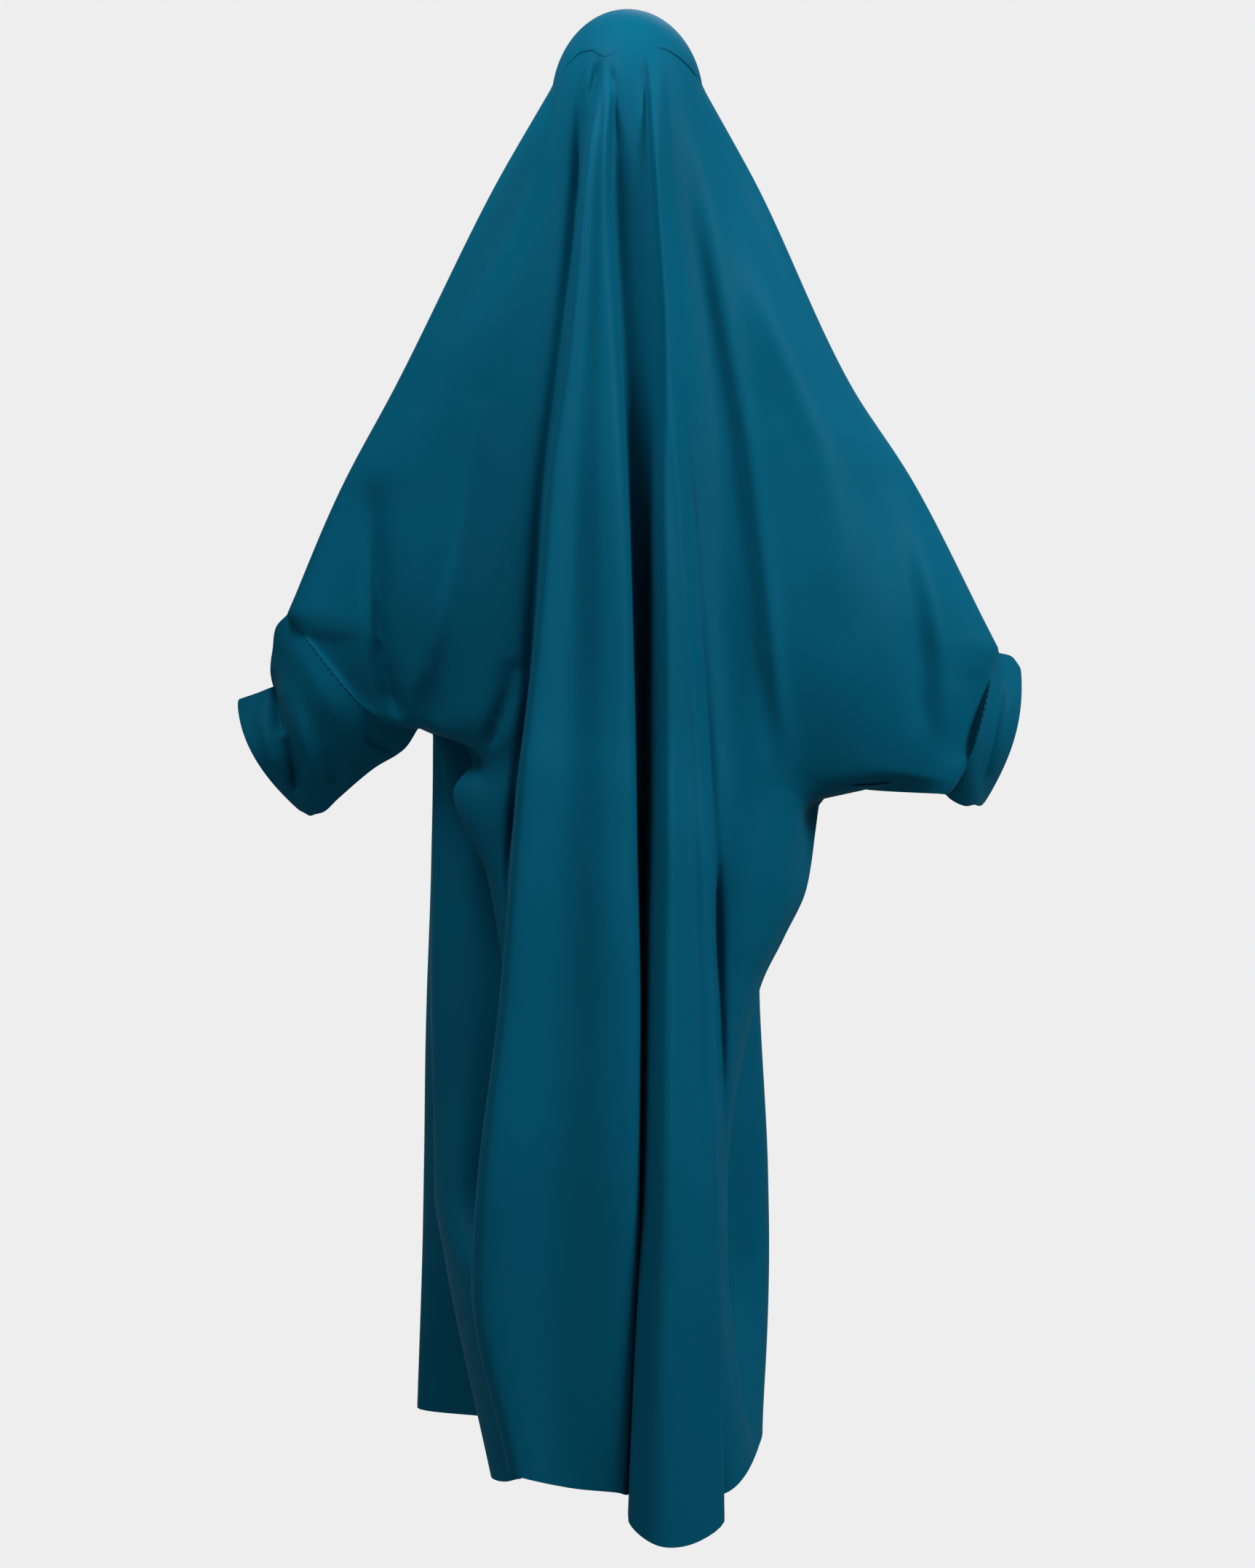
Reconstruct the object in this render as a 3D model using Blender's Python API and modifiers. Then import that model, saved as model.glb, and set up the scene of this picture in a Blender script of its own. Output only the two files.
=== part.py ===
# An overhead jilbab, draped as it is worn: one wide cloth from the crown of the head
# to the ankles, with batwing sides, short sewn-on sleeves and cuffs.
# Metres, +Z up. The origin is where the crown of the head bears inside the cap.
# The pleated back faces -Y and the face opening +Y; "left" is the side at -X.

import math

import bpy
import numpy as np

# Overall sizes of the draped garment
HEM_DROP = 1.59          # from the crown down to the level hem
HALF_SPAN = 0.4455       # from the middle out to a cuff
DRAPE_DEPTH = 0.25       # from the arms' plane to the deepest pleat
WALL = 0.002             # thickness of the cloth
SEAM_GAP = 0.0006        # clearance between two sewn edges
SEAM_REACH = 0.004       # edges nearer than this are sewn together
SHARPEST_SEAM = 0.86     # cosine of the sharpest corner that a seam makes
MOST_SLANT = 0.35        # sine of the flattest angle at which the mesh leaves a seam

# The hood over the head, an oval dome with its poles at the temples
HOOD_HALF_WIDTH = 0.084
HOOD_HALF_DEPTH = 0.095
HOOD_RISE = 0.102        # from the temples up to the crown
TEMPLE_TURN = 12.0       # degrees from each pole at which the cap ends
BROW_TILT = 26.0         # degrees above the temples at which the cap's front edge lies
END_TILT = 128.0         # tilt at which the cap's end meets its crown seam

# The face opening, an oval whose lower half is the front panel's top edge
FACE_DROP = 0.238        # from the crown down to the edge below the chin
CHIN_REACH = 0.112       # how far the edge below the chin lies in front
CHEEK_FULLNESS = 0.8     # 1 for a plain oval, less for a fuller one
TEMPLE_SHARE = 0.08      # share of the front panel's top edge that is sewn to the cap

# Armholes and sleeves
ARMHOLE_HALF_DEPTH = 0.058
ARMHOLE_BOW = {"left": 0.037, "right": 0.016}    # how far each seam bows out and down
BOW_FULLNESS = 6         # more keeps the bow full closer to the armhole's foot
UNDERARM_ARCH = {"left": 0.0, "right": 0.030}    # rise of the cloth between wing and underarm
SLEEVE_ROUNDNESS = 0.7
OUT_AND_DOWN = (0.67, 0.74)    # direction in which the armhole seams bow

# Rows of mesh between one level of the drape and the next, top to bottom
ROWS_BETWEEN_LEVELS = (3, 4, 2, 2, 6, 2, 2, 3, 4, 2, 4)
PARTS_BETWEEN_FOLDS = 2
CAP_ROWS = 8
CUFF_ROWS = 2

# Levels down the drape: drop at the left and at the right, shares of HEM_DROP
LEVELS = (
    # name, left, right
    ("crown", 0.045, 0.045),
    ("nape", 0.120, 0.120),
    ("shoulder", 0.260, 0.260),
    ("upper_arm", 0.335, 0.330),
    ("elbow", 0.420, 0.447),
    ("armhole_foot", 0.484, 0.555),
    ("underarm", 0.479, 0.583),
    ("waist", 0.607, 0.607),
    ("hip", 0.685, 0.685),
    ("knee", 0.818, 0.818),
    ("shin", 0.870, 0.870),
    ("hem", 1.000, 1.000),
)
ELBOW, FOOT, UNDERARM = 4, 5, 6

# Drape lines of the back panel, from its left edge to its right edge.
# turn and tilt: the line's place on the cap's edge, in degrees on the dome.
# hem: how low the line ends, a share of HEM_DROP.
# arm: how much the line follows the bulge of the armhole beside it.
# across: shares of HALF_SPAN at nape, shoulder, upper arm, elbow, armhole foot,
# underarm, waist, hip, knee, shin and hem. depth: shares of DRAPE_DEPTH there.
BACK_LINES = (
    ("seam_left", dict(
        turn=12, tilt=90, hem=1.004, arm=1.0,
        across=(-0.313, -0.564, -0.704, -0.848, -0.523, -0.484, -0.310, -0.264, -0.308, -0.367, -0.257),
        depth=(0.14, 0.08, 0.04, 0.00, 0.00, 0.00, -0.09, -0.20, -0.24, -0.60, -0.70))),
    ("ridge_left", dict(
        turn=12, tilt=128, hem=1.002, arm=0.9,
        across=(-0.322, -0.572, -0.712, -0.840, -0.500, -0.450, -0.346, -0.300, -0.335, -0.362, -0.242),
        depth=(-0.02, -0.02, -0.03, -0.05, -0.12, -0.16, -0.28, -0.34, -0.36, -0.63, -0.71))),
    ("wing_left_outer", dict(
        turn=17, tilt=155, hem=0.997, arm=0.5,
        across=(-0.265, -0.517, -0.594, -0.650, -0.475, -0.430, -0.335, -0.288, -0.322, -0.358, -0.229),
        depth=(-0.12, -0.14, -0.15, -0.16, -0.20, -0.26, -0.35, -0.38, -0.40, -0.65, -0.73))),
    ("wing_left_inner", dict(
        turn=32, tilt=152, hem=0.997, arm=0.2,
        across=(-0.210, -0.364, -0.418, -0.459, -0.435, -0.377, -0.298, -0.276, -0.308, -0.354, -0.217),
        depth=(-0.26, -0.36, -0.38, -0.40, -0.30, -0.34, -0.40, -0.42, -0.44, -0.67, -0.74))),
    ("valley_left", dict(
        turn=52, tilt=148, hem=0.996, arm=0.0,
        across=(-0.134, -0.210, -0.229, -0.250, -0.275, -0.288, -0.275, -0.262, -0.297, -0.350, -0.206),
        depth=(-0.36, -0.30, -0.30, -0.30, -0.32, -0.36, -0.44, -0.48, -0.50, -0.69, -0.75))),
    ("fold_a_left", dict(
        turn=63, tilt=152, hem=0.996, arm=0.0,
        across=(-0.117, -0.165, -0.186, -0.215, -0.244, -0.251, -0.280, -0.305, -0.360, -0.340, -0.192),
        depth=(-0.47, -0.56, -0.59, -0.62, -0.64, -0.65, -0.69, -0.72, -0.74, -0.73, -0.76))),
    ("fold_a_crest", dict(
        turn=69, tilt=158, hem=0.998, arm=0.0,
        across=(-0.099, -0.135, -0.150, -0.169, -0.186, -0.191, -0.215, -0.236, -0.278, -0.296, -0.155),
        depth=(-0.51, -0.62, -0.66, -0.70, -0.72, -0.73, -0.77, -0.80, -0.84, -0.82, -0.80))),
    ("fold_a_dip", dict(
        turn=75, tilt=160, hem=1.007, arm=0.0,
        across=(-0.078, -0.083, -0.078, -0.070, -0.070, -0.070, -0.085, -0.108, -0.125, -0.133, -0.099),
        depth=(-0.51, -0.61, -0.64, -0.67, -0.69, -0.70, -0.73, -0.75, -0.77, -0.76, -0.75))),
    ("fold_a_edge", dict(
        turn=80, tilt=160, hem=1.012, arm=0.0,
        across=(-0.050, -0.034, -0.024, -0.010, -0.001, 0.003, 0.008, 0.010, -0.001, -0.008, -0.030),
        depth=(-0.50, -0.60, -0.63, -0.67, -0.70, -0.71, -0.75, -0.78, -0.80, -0.80, -0.78))),
    ("fold_a_right", dict(
        turn=84, tilt=158, hem=1.013, arm=0.0,
        across=(-0.038, -0.018, -0.007, 0.008, 0.017, 0.018, 0.027, 0.032, 0.027, 0.022, 0.003),
        depth=(-0.47, -0.55, -0.57, -0.60, -0.62, -0.63, -0.66, -0.68, -0.69, -0.68, -0.67))),
    ("recess", dict(
        turn=90, tilt=155, hem=1.009, arm=0.0,
        across=(-0.010, 0.012, 0.017, 0.022, 0.024, 0.024, 0.024, 0.024, 0.016, 0.011, 0.012),
        depth=(-0.43, -0.46, -0.46, -0.46, -0.46, -0.46, -0.47, -0.50, -0.54, -0.57, -0.62))),
    ("valley_middle", dict(
        turn=97, tilt=153, hem=1.010, arm=0.0,
        across=(0.022, 0.054, 0.052, 0.047, 0.042, 0.042, 0.042, 0.043, 0.041, 0.040, 0.027),
        depth=(-0.40, -0.34, -0.32, -0.30, -0.30, -0.30, -0.32, -0.36, -0.44, -0.50, -0.60))),
    ("fold_b_left", dict(
        turn=102, tilt=152, hem=1.028, arm=0.0,
        across=(0.052, 0.071, 0.071, 0.071, 0.067, 0.065, 0.057, 0.051, 0.039, 0.027, 0.004),
        depth=(-0.44, -0.50, -0.53, -0.56, -0.58, -0.59, -0.64, -0.68, -0.76, -0.79, -0.84))),
    ("fold_b_crest", dict(
        turn=106, tilt=152, hem=1.034, arm=0.0,
        across=(0.059, 0.083, 0.090, 0.096, 0.100, 0.101, 0.097, 0.090, 0.078, 0.072, 0.047),
        depth=(-0.46, -0.56, -0.60, -0.66, -0.70, -0.72, -0.78, -0.82, -0.90, -0.92, -0.96))),
    ("fold_b_face", dict(
        turn=111, tilt=152, hem=1.038, arm=0.0,
        across=(0.068, 0.101, 0.116, 0.135, 0.152, 0.158, 0.166, 0.171, 0.183, 0.192, 0.183),
        depth=(-0.46, -0.55, -0.59, -0.64, -0.68, -0.70, -0.76, -0.80, -0.88, -0.90, -0.94))),
    ("fold_b_right", dict(
        turn=115, tilt=151, hem=1.029, arm=0.0,
        across=(0.075, 0.117, 0.135, 0.158, 0.177, 0.184, 0.197, 0.204, 0.217, 0.221, 0.224),
        depth=(-0.42, -0.49, -0.52, -0.55, -0.59, -0.60, -0.64, -0.68, -0.74, -0.76, -0.80))),
    ("valley_right", dict(
        turn=120, tilt=150, hem=1.018, arm=0.0,
        across=(0.093, 0.155, 0.182, 0.216, 0.242, 0.251, 0.219, 0.186, 0.189, 0.192, 0.200),
        depth=(-0.38, -0.39, -0.40, -0.42, -0.44, -0.44, -0.46, -0.48, -0.50, -0.52, -0.62))),
    ("wing_right_first", dict(
        turn=126, tilt=150, hem=1.018, arm=0.0,
        across=(0.129, 0.236, 0.269, 0.305, 0.331, 0.332, 0.292, 0.225, 0.203, 0.207, 0.222),
        depth=(-0.34, -0.32, -0.34, -0.40, -0.42, -0.40, -0.42, -0.44, -0.46, -0.48, -0.61))),
    ("wing_right_inner", dict(
        turn=133, tilt=150, hem=1.016, arm=0.0,
        across=(0.183, 0.304, 0.339, 0.379, 0.418, 0.409, 0.365, 0.270, 0.218, 0.220, 0.242),
        depth=(-0.30, -0.34, -0.40, -0.46, -0.36, -0.30, -0.33, -0.38, -0.42, -0.44, -0.60))),
    ("wing_right_middle", dict(
        turn=141, tilt=150, hem=1.013, arm=0.2,
        across=(0.220, 0.396, 0.493, 0.577, 0.577, 0.437, 0.410, 0.298, 0.229, 0.229, 0.261),
        depth=(-0.20, -0.32, -0.37, -0.40, -0.24, -0.18, -0.23, -0.30, -0.38, -0.40, -0.57))),
    ("wing_right_outer", dict(
        turn=152, tilt=150, hem=1.009, arm=0.5,
        across=(0.257, 0.469, 0.604, 0.761, 0.698, 0.460, 0.435, 0.314, 0.238, 0.237, 0.281),
        depth=(-0.12, -0.24, -0.24, -0.24, -0.14, -0.08, -0.13, -0.22, -0.32, -0.34, -0.50))),
    ("ridge_right", dict(
        turn=168, tilt=128, hem=1.005, arm=0.9,
        across=(0.317, 0.552, 0.712, 0.915, 0.780, 0.473, 0.448, 0.321, 0.242, 0.244, 0.300),
        depth=(-0.02, -0.02, -0.04, -0.06, -0.05, -0.03, -0.07, -0.14, -0.24, -0.26, -0.38))),
    ("seam_right", dict(
        turn=168, tilt=90, hem=1.000, arm=1.0,
        across=(0.310, 0.548, 0.708, 0.925, 0.795, 0.477, 0.440, 0.222, 0.176, 0.176, 0.318),
        depth=(0.14, 0.08, 0.04, 0.00, 0.00, 0.00, -0.01, -0.04, -0.12, -0.12, -0.24))),
)

# Drape lines of the front panel between the two seams, from right to left.
# face: the line's place on the edge of the face opening, from 0 at the right
# temple over 0.5 below the chin to 1 at the left temple.
FRONT_LINES = (
    ("side_right", dict(
        face=0.10, hem=0.993, arm=0.6,
        across=(0.255, 0.475, 0.618, 0.790, 0.710, 0.455, 0.410, 0.331, 0.351, 0.353, 0.335),
        depth=(0.26, 0.22, 0.21, 0.20, 0.16, 0.12, 0.16, 0.20, 0.20, 0.20, -0.04))),
    ("front_right_side", dict(
        face=0.22, hem=0.990, arm=0.1,
        across=(0.200, 0.365, 0.467, 0.560, 0.545, 0.400, 0.311, 0.290, 0.310, 0.315, 0.300),
        depth=(0.40, 0.40, 0.42, 0.46, 0.44, 0.38, 0.44, 0.52, 0.56, 0.58, 0.50))),
    ("front_right", dict(
        face=0.36, hem=0.990, arm=0.0,
        across=(0.110, 0.190, 0.233, 0.270, 0.270, 0.240, 0.187, 0.170, 0.180, 0.185, 0.180),
        depth=(0.48, 0.54, 0.58, 0.62, 0.62, 0.60, 0.63, 0.68, 0.72, 0.74, 0.80))),
    ("front_middle", dict(
        face=0.50, hem=0.990, arm=0.0,
        across=(0.000, 0.000, 0.000, 0.000, 0.000, 0.000, 0.000, 0.000, 0.000, 0.000, -0.020),
        depth=(0.52, 0.56, 0.59, 0.62, 0.62, 0.62, 0.62, 0.62, 0.64, 0.66, 0.70))),
    ("front_left", dict(
        face=0.64, hem=0.990, arm=0.0,
        across=(-0.110, -0.190, -0.233, -0.270, -0.270, -0.250, -0.226, -0.220, -0.230, -0.240, -0.250),
        depth=(0.48, 0.54, 0.58, 0.62, 0.62, 0.62, 0.65, 0.70, 0.76, 0.78, 0.86))),
    ("front_left_side", dict(
        face=0.78, hem=0.992, arm=0.1,
        across=(-0.200, -0.365, -0.467, -0.560, -0.440, -0.420, -0.420, -0.420, -0.430, -0.440, -0.460),
        depth=(0.40, 0.40, 0.42, 0.46, 0.42, 0.40, 0.45, 0.52, 0.60, 0.64, 0.76))),
    ("side_left", dict(
        face=0.86, hem=0.996, arm=0.4,
        across=(-0.245, -0.480, -0.612, -0.730, -0.490, -0.484, -0.491, -0.503, -0.519, -0.525, -0.546),
        depth=(0.28, 0.26, 0.26, 0.26, 0.22, 0.16, 0.13, 0.12, 0.32, 0.40, 0.60))),
    ("tuck_left", dict(
        face=0.92, hem=0.998, arm=0.6,
        across=(-0.265, -0.515, -0.656, -0.780, -0.500, -0.487, -0.489, -0.492, -0.453, -0.408, -0.293),
        depth=(0.23, 0.19, 0.18, 0.16, 0.15, 0.09, 0.03, 0.02, 0.08, 0.12, 0.32))),
    ("lap_left_edge", dict(
        face=0.96, hem=1.009, arm=0.8,
        across=(-0.281, -0.538, -0.682, -0.812, -0.510, -0.486, -0.479, -0.478, -0.479, -0.446, -0.327),
        depth=(0.20, 0.14, 0.11, 0.08, 0.08, 0.05, -0.03, -0.08, -0.12, -0.24, -0.52))),
    ("lap_left", dict(
        face=0.98, hem=1.008, arm=0.9,
        across=(-0.305, -0.555, -0.696, -0.832, -0.517, -0.485, -0.414, -0.390, -0.418, -0.405, -0.291),
        depth=(0.17, 0.11, 0.07, 0.03, 0.04, 0.02, -0.09, -0.18, -0.30, -0.48, -0.64))),
)

# Sleeves: for each ring from the armhole out to the cuff, the top and the bottom
# point as shares of HALF_SPAN across and of HEM_DROP down, the half depth as a
# share of ARMHOLE_HALF_DEPTH, the shift forward as a share of DRAPE_DEPTH and the
# share of the armhole's bow that is left.
LEFT_SLEEVE = (
    ("bulge", dict(top=(-0.879, 0.431), bottom=(-0.560, 0.516), depth=1.08, forward=0.0, bow=0.9)),
    ("forearm", dict(top=(-0.890, 0.446), bottom=(-0.640, 0.530), depth=1.08, forward=0.0, bow=0.5)),
    ("blouse", dict(top=(-0.898, 0.457), bottom=(-0.730, 0.551), depth=0.95, forward=0.0, bow=0.2)),
    ("turn", dict(top=(-0.899, 0.466), bottom=(-0.792, 0.562), depth=0.80, forward=0.0, bow=0.0)),
    ("joint", dict(top=(-0.895, 0.472), bottom=(-0.815, 0.552), depth=0.66, forward=0.0, bow=0.0)),
)
LEFT_CUFF = (
    ("edge", dict(top=(-0.985, 0.482), bottom=(-0.836, 0.562), depth=0.74, forward=0.0, bow=0.0)),
)
RIGHT_SLEEVE = (
    ("bulge", dict(top=(0.930, 0.452), bottom=(0.824, 0.557), depth=1.00, forward=0.04, bow=0.8)),
    ("blouse", dict(top=(0.938, 0.457), bottom=(0.850, 0.562), depth=0.94, forward=0.09, bow=0.4)),
    ("joint", dict(top=(0.945, 0.462), bottom=(0.866, 0.557), depth=0.74, forward=0.13, bow=0.0)),
)
RIGHT_CUFF = (
    ("edge", dict(top=(1.000, 0.463), bottom=(0.903, 0.563), depth=0.80, forward=0.22, bow=0.0)),
)

CLOTH_COLOUR = (0.006, 0.105, 0.168, 1.0)
CLOTH_ROUGHNESS = 0.62


def clear_scene():
    for old in list(bpy.data.objects):
        bpy.data.objects.remove(old, do_unlink=True)


def cloth_material(name):
    material = bpy.data.materials.new(name)
    material.use_nodes = True
    shader = material.node_tree.nodes["Principled BSDF"]
    shader.inputs["Base Color"].default_value = CLOTH_COLOUR
    shader.inputs["Roughness"].default_value = CLOTH_ROUGHNESS
    shader.inputs["Metallic"].default_value = 0.0
    return material


def dome_point(turn, tilt):
    """A point of the hood: turn from the left pole, tilt from the front over the top."""
    turn = math.radians(turn)
    tilt = math.radians(tilt)
    return np.array((
        -HOOD_HALF_WIDTH * math.cos(turn),
        HOOD_HALF_DEPTH * math.sin(turn) * math.cos(tilt),
        HOOD_RISE * (math.sin(turn) * math.sin(tilt) - 1.0)))


def face_point(share):
    """A point of the front panel's top edge, from the right temple under the chin.
    Beside the cap it follows the cap's end, and then the oval of the face opening."""
    if share < TEMPLE_SHARE:
        return dome_point(180.0 - TEMPLE_TURN, 90.0 - (90.0 - BROW_TILT) * share / TEMPLE_SHARE)
    if share > 1.0 - TEMPLE_SHARE:
        left = face_point(1.0 - share)
        return left * (-1.0, 1.0, 1.0)
    brow = dome_point(180.0 - TEMPLE_TURN, BROW_TILT)
    around = (share - TEMPLE_SHARE) / (1.0 - 2.0 * TEMPLE_SHARE)
    dip = max(math.sin(math.pi * around), 0.0)
    return np.array((
        brow[0] * math.copysign(abs(math.cos(math.pi * around)) ** CHEEK_FULLNESS, 0.5 - around),
        brow[1] + (CHIN_REACH - brow[1]) * dip ** 0.8,
        brow[2] - (FACE_DROP + brow[2]) * dip))


def level_drop(level, across):
    """How far down a level lies at a place across, which runs from -1 to 1."""
    left, right = LEVELS[level][1:]
    return HEM_DROP * (left + (right - left) * (across + 1.0) / 2.0)


def line_points(name, row):
    """The places of one drape line at all levels, the crown first."""
    if "face" in row:
        points = [face_point(row["face"])]
    else:
        points = [dome_point(row["turn"], row["tilt"])]
    for level in range(1, len(LEVELS)):
        across = row["across"][level - 1]
        drop = level_drop(level, across)
        if "face" in row and level == 1:
            below = level_drop(2, row["across"][1])
            drop = 0.5 * (below - points[0][2])
        if level == len(LEVELS) - 1:
            drop = HEM_DROP * row["hem"]
        points.append(np.array((HALF_SPAN * across, DRAPE_DEPTH * row["depth"][level - 1], -drop)))
    return points


def slopes_between(knots, values):
    """Slopes at the knots that let a curve pass them without overshooting."""
    steps = np.diff(knots)
    rates = np.diff(values) / steps
    slopes = np.zeros(len(values))
    slopes[0] = rates[0]
    slopes[-1] = rates[-1]
    for i in range(1, len(values) - 1):
        if rates[i - 1] * rates[i] > 0:
            before = 2 * steps[i] + steps[i - 1]
            after = steps[i] + 2 * steps[i - 1]
            slopes[i] = (before + after) / (before / rates[i - 1] + after / rates[i])
    return slopes


def smooth_value(knots, values, slopes, place):
    """The value at a place between the knots, on the curve with those slopes."""
    i = min(max(int(np.searchsorted(knots, place)) - 1, 0), len(knots) - 2)
    step = knots[i + 1] - knots[i]
    t = (place - knots[i]) / step
    return ((1 + 2 * t) * (1 - t) ** 2 * values[i] + t * (1 - t) ** 2 * step * slopes[i]
            + t * t * (3 - 2 * t) * values[i + 1] + t * t * (t - 1) * step * slopes[i + 1])


def row_places():
    """Each mesh row as a level number with its fraction, top to bottom."""
    places = []
    for level, count in enumerate(ROWS_BETWEEN_LEVELS):
        places += [level + step / count for step in range(count)]
    return places + [float(len(ROWS_BETWEEN_LEVELS))]


def armhole_share(place):
    """How far down the armhole a row lies, or None away from it."""
    if ELBOW <= place <= FOOT:
        return place - ELBOW
    return None


def lens_bulge(share):
    """Half the opening of an armhole or a sleeve ring at a share of its height."""
    return math.sin(math.pi * min(max(share, 0.0), 1.0)) ** SLEEVE_ROUNDNESS


def line_slopes(knots, values, row):
    """Slopes down a line. One near an arm turns sharply at the elbow and the underarm."""
    slopes = slopes_between(knots, values)
    if row["arm"] > 0:
        upper = slopes_between(knots[:ELBOW + 1], values[:ELBOW + 1])
        lower = slopes_between(knots[UNDERARM:], values[UNDERARM:])
        slopes = np.concatenate((upper, slopes[ELBOW + 1:UNDERARM], (0.0,), lower[1:]))
    return slopes


def bow_offset(across, share):
    """How far the bowed armhole seam lies out and down from the straight one."""
    side = "right" if across > 0 else "left"
    reach = ARMHOLE_BOW[side] * share * (1.0 - share ** BOW_FULLNESS)
    return reach * np.array((math.copysign(OUT_AND_DOWN[0], across), 0.0, -OUT_AND_DOWN[1]))


def down_line(points, row, side):
    """A drape line sampled at every mesh row, bulged beside the armhole."""
    knots = np.array([(left + right) / 2 for _, left, right in LEVELS])
    table = np.array(points)
    slopes = [line_slopes(knots, table[:, axis], row) for axis in range(3)]
    samples = []
    for place in row_places():
        level = min(int(place), len(knots) - 2)
        drop = knots[level] + (place - level) * (knots[level + 1] - knots[level])
        point = np.array([smooth_value(knots, table[:, axis], slopes[axis], drop)
                          for axis in range(3)])
        share = armhole_share(place)
        if share is not None and row["arm"] > 0:
            straight = table[ELBOW] + share * (table[FOOT] - table[ELBOW])
            point = point + row["arm"] * (straight + bow_offset(straight[0], share) - point)
            point[1] += side * ARMHOLE_HALF_DEPTH * lens_bulge(share) * row["arm"]
        if FOOT < place < UNDERARM:
            rise = UNDERARM_ARCH["right" if point[0] > 0 else "left"]
            point[2] += rise * row["arm"] * math.sin(math.pi * (place - FOOT))
        samples.append(point)
    return np.array(samples)


def spline_across(points, parts):
    """Points on a smooth curve through the given points, so many parts between two."""
    points = np.asarray(points)
    ends = (2 * points[0] - points[1], 2 * points[-1] - points[-2])
    chain = np.vstack((ends[:1], points, ends[1:]))
    curve = []
    for i in range(1, len(chain) - 2):
        p0, p1, p2, p3 = chain[i - 1:i + 3]
        spans = [max(np.linalg.norm(b - a), 1e-6) ** 0.5 for a, b in ((p0, p1), (p1, p2), (p2, p3))]
        t1 = spans[0]
        t2 = t1 + spans[1]
        t3 = t2 + spans[2]
        for part in range(parts):
            t = t1 + (t2 - t1) * part / parts
            a1 = (t1 - t) / t1 * p0 + t / t1 * p1
            a2 = (t2 - t) / (t2 - t1) * p1 + (t - t1) / (t2 - t1) * p2
            a3 = (t3 - t) / (t3 - t2) * p2 + (t - t2) / (t3 - t2) * p3
            b1 = (t2 - t) / t2 * a1 + t / t2 * a2
            b2 = (t3 - t) / (t3 - t1) * a2 + (t - t1) / (t3 - t1) * a3
            curve.append((t2 - t) / (t2 - t1) * b1 + (t - t1) / (t2 - t1) * b2)
    curve.append(chain[-2])
    return np.array(curve)


def panel_grid(lines, side):
    """The grid of a panel, a row of points for each mesh row."""
    columns = [down_line(line_points(name, row), row, side) for name, row in lines]
    rows = [spline_across([column[i] for column in columns], PARTS_BETWEEN_FOLDS)
            for i in range(len(columns[0]))]
    return np.array(rows)


def crown_stations():
    """Turn and tilt of every column of the back panel along the cap's edge."""
    ends = [(row["turn"], row["tilt"]) for _, row in BACK_LINES]
    stations = []
    for (turn, tilt), (next_turn, next_tilt) in zip(ends, ends[1:]):
        for part in range(PARTS_BETWEEN_FOLDS):
            share = part / PARTS_BETWEEN_FOLDS
            stations.append((turn + share * (next_turn - turn), tilt + share * (next_tilt - tilt)))
    return stations + [ends[-1]]


def unit_rows(vectors):
    return vectors / np.maximum(np.linalg.norm(vectors, axis=1, keepdims=True), 1e-9)


def sheet_object(name, grid, collection, closed=False):
    """A cloth wall on a grid of points; a closed grid joins its last column to its first."""
    rows, columns = grid.shape[:2]
    vertices = [tuple(point) for row in grid for point in row]
    faces = []
    for i in range(rows - 1):
        for j in range(columns if closed else columns - 1):
            k = (j + 1) % columns
            faces.append((i * columns + j, (i + 1) * columns + j,
                          (i + 1) * columns + k, i * columns + k))
    mesh = bpy.data.meshes.new(name)
    mesh.from_pydata(vertices, [], faces)
    mesh.validate()
    mesh.shade_smooth()
    mesh.materials.append(cloth_material(name + "_cloth"))
    sheet = bpy.data.objects.new(name, mesh)
    collection.objects.link(sheet)
    wall = sheet.modifiers.new("Wall", "SOLIDIFY")
    wall.thickness = WALL
    wall.offset = 0.0
    return sheet


def cap_grid():
    """The cap over the crown, from the pleated crown seam to the brow."""
    stations = [pair for pair in crown_stations() if pair[1] >= END_TILT]
    rows = []
    for i in range(CAP_ROWS + 1):
        share = i / CAP_ROWS
        rows.append([dome_point(turn, tilt + share * (BROW_TILT - tilt)) for turn, tilt in stations])
    return np.array(rows)


def sewn_edges(name, grid):
    """The sewn edges of a piece: side, points and the next points into the cloth."""
    edges = {"top": (grid[0], grid[1])}
    if name.endswith("_sleeve"):
        edges["bottom"] = (grid[-1], grid[-2])
    if name.endswith(("_panel", "_cap")):
        edges["left"] = (grid[:, 0], grid[:, 1])
        edges["right"] = (grid[:, -1], grid[:, -2])
    return edges


def leaving(edge, inner):
    """At every point of an edge, the ways along the mesh and square to the edge."""
    along = unit_rows(np.gradient(edge, axis=0))
    inward = unit_rows(inner - edge)
    square = inward - np.sum(inward * along, axis=1, keepdims=True) * along
    slant = np.maximum(np.linalg.norm(square, axis=1), MOST_SLANT)
    return inward / slant[:, None], unit_rows(square)


def seam_pull(point, square, points, squares):
    """How far to draw one edge point back from the cloths that meet it."""
    near = np.linalg.norm(points - point, axis=1) < SEAM_REACH
    pull = 0.0
    for other in squares[near]:
        cosine = min(float(np.dot(square, other)), SHARPEST_SEAM)
        lean = math.sqrt((1.0 + cosine) / (1.0 - cosine))
        pull = max(pull, WALL / 2.0 * lean + SEAM_GAP / 2.0)
    return pull


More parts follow.
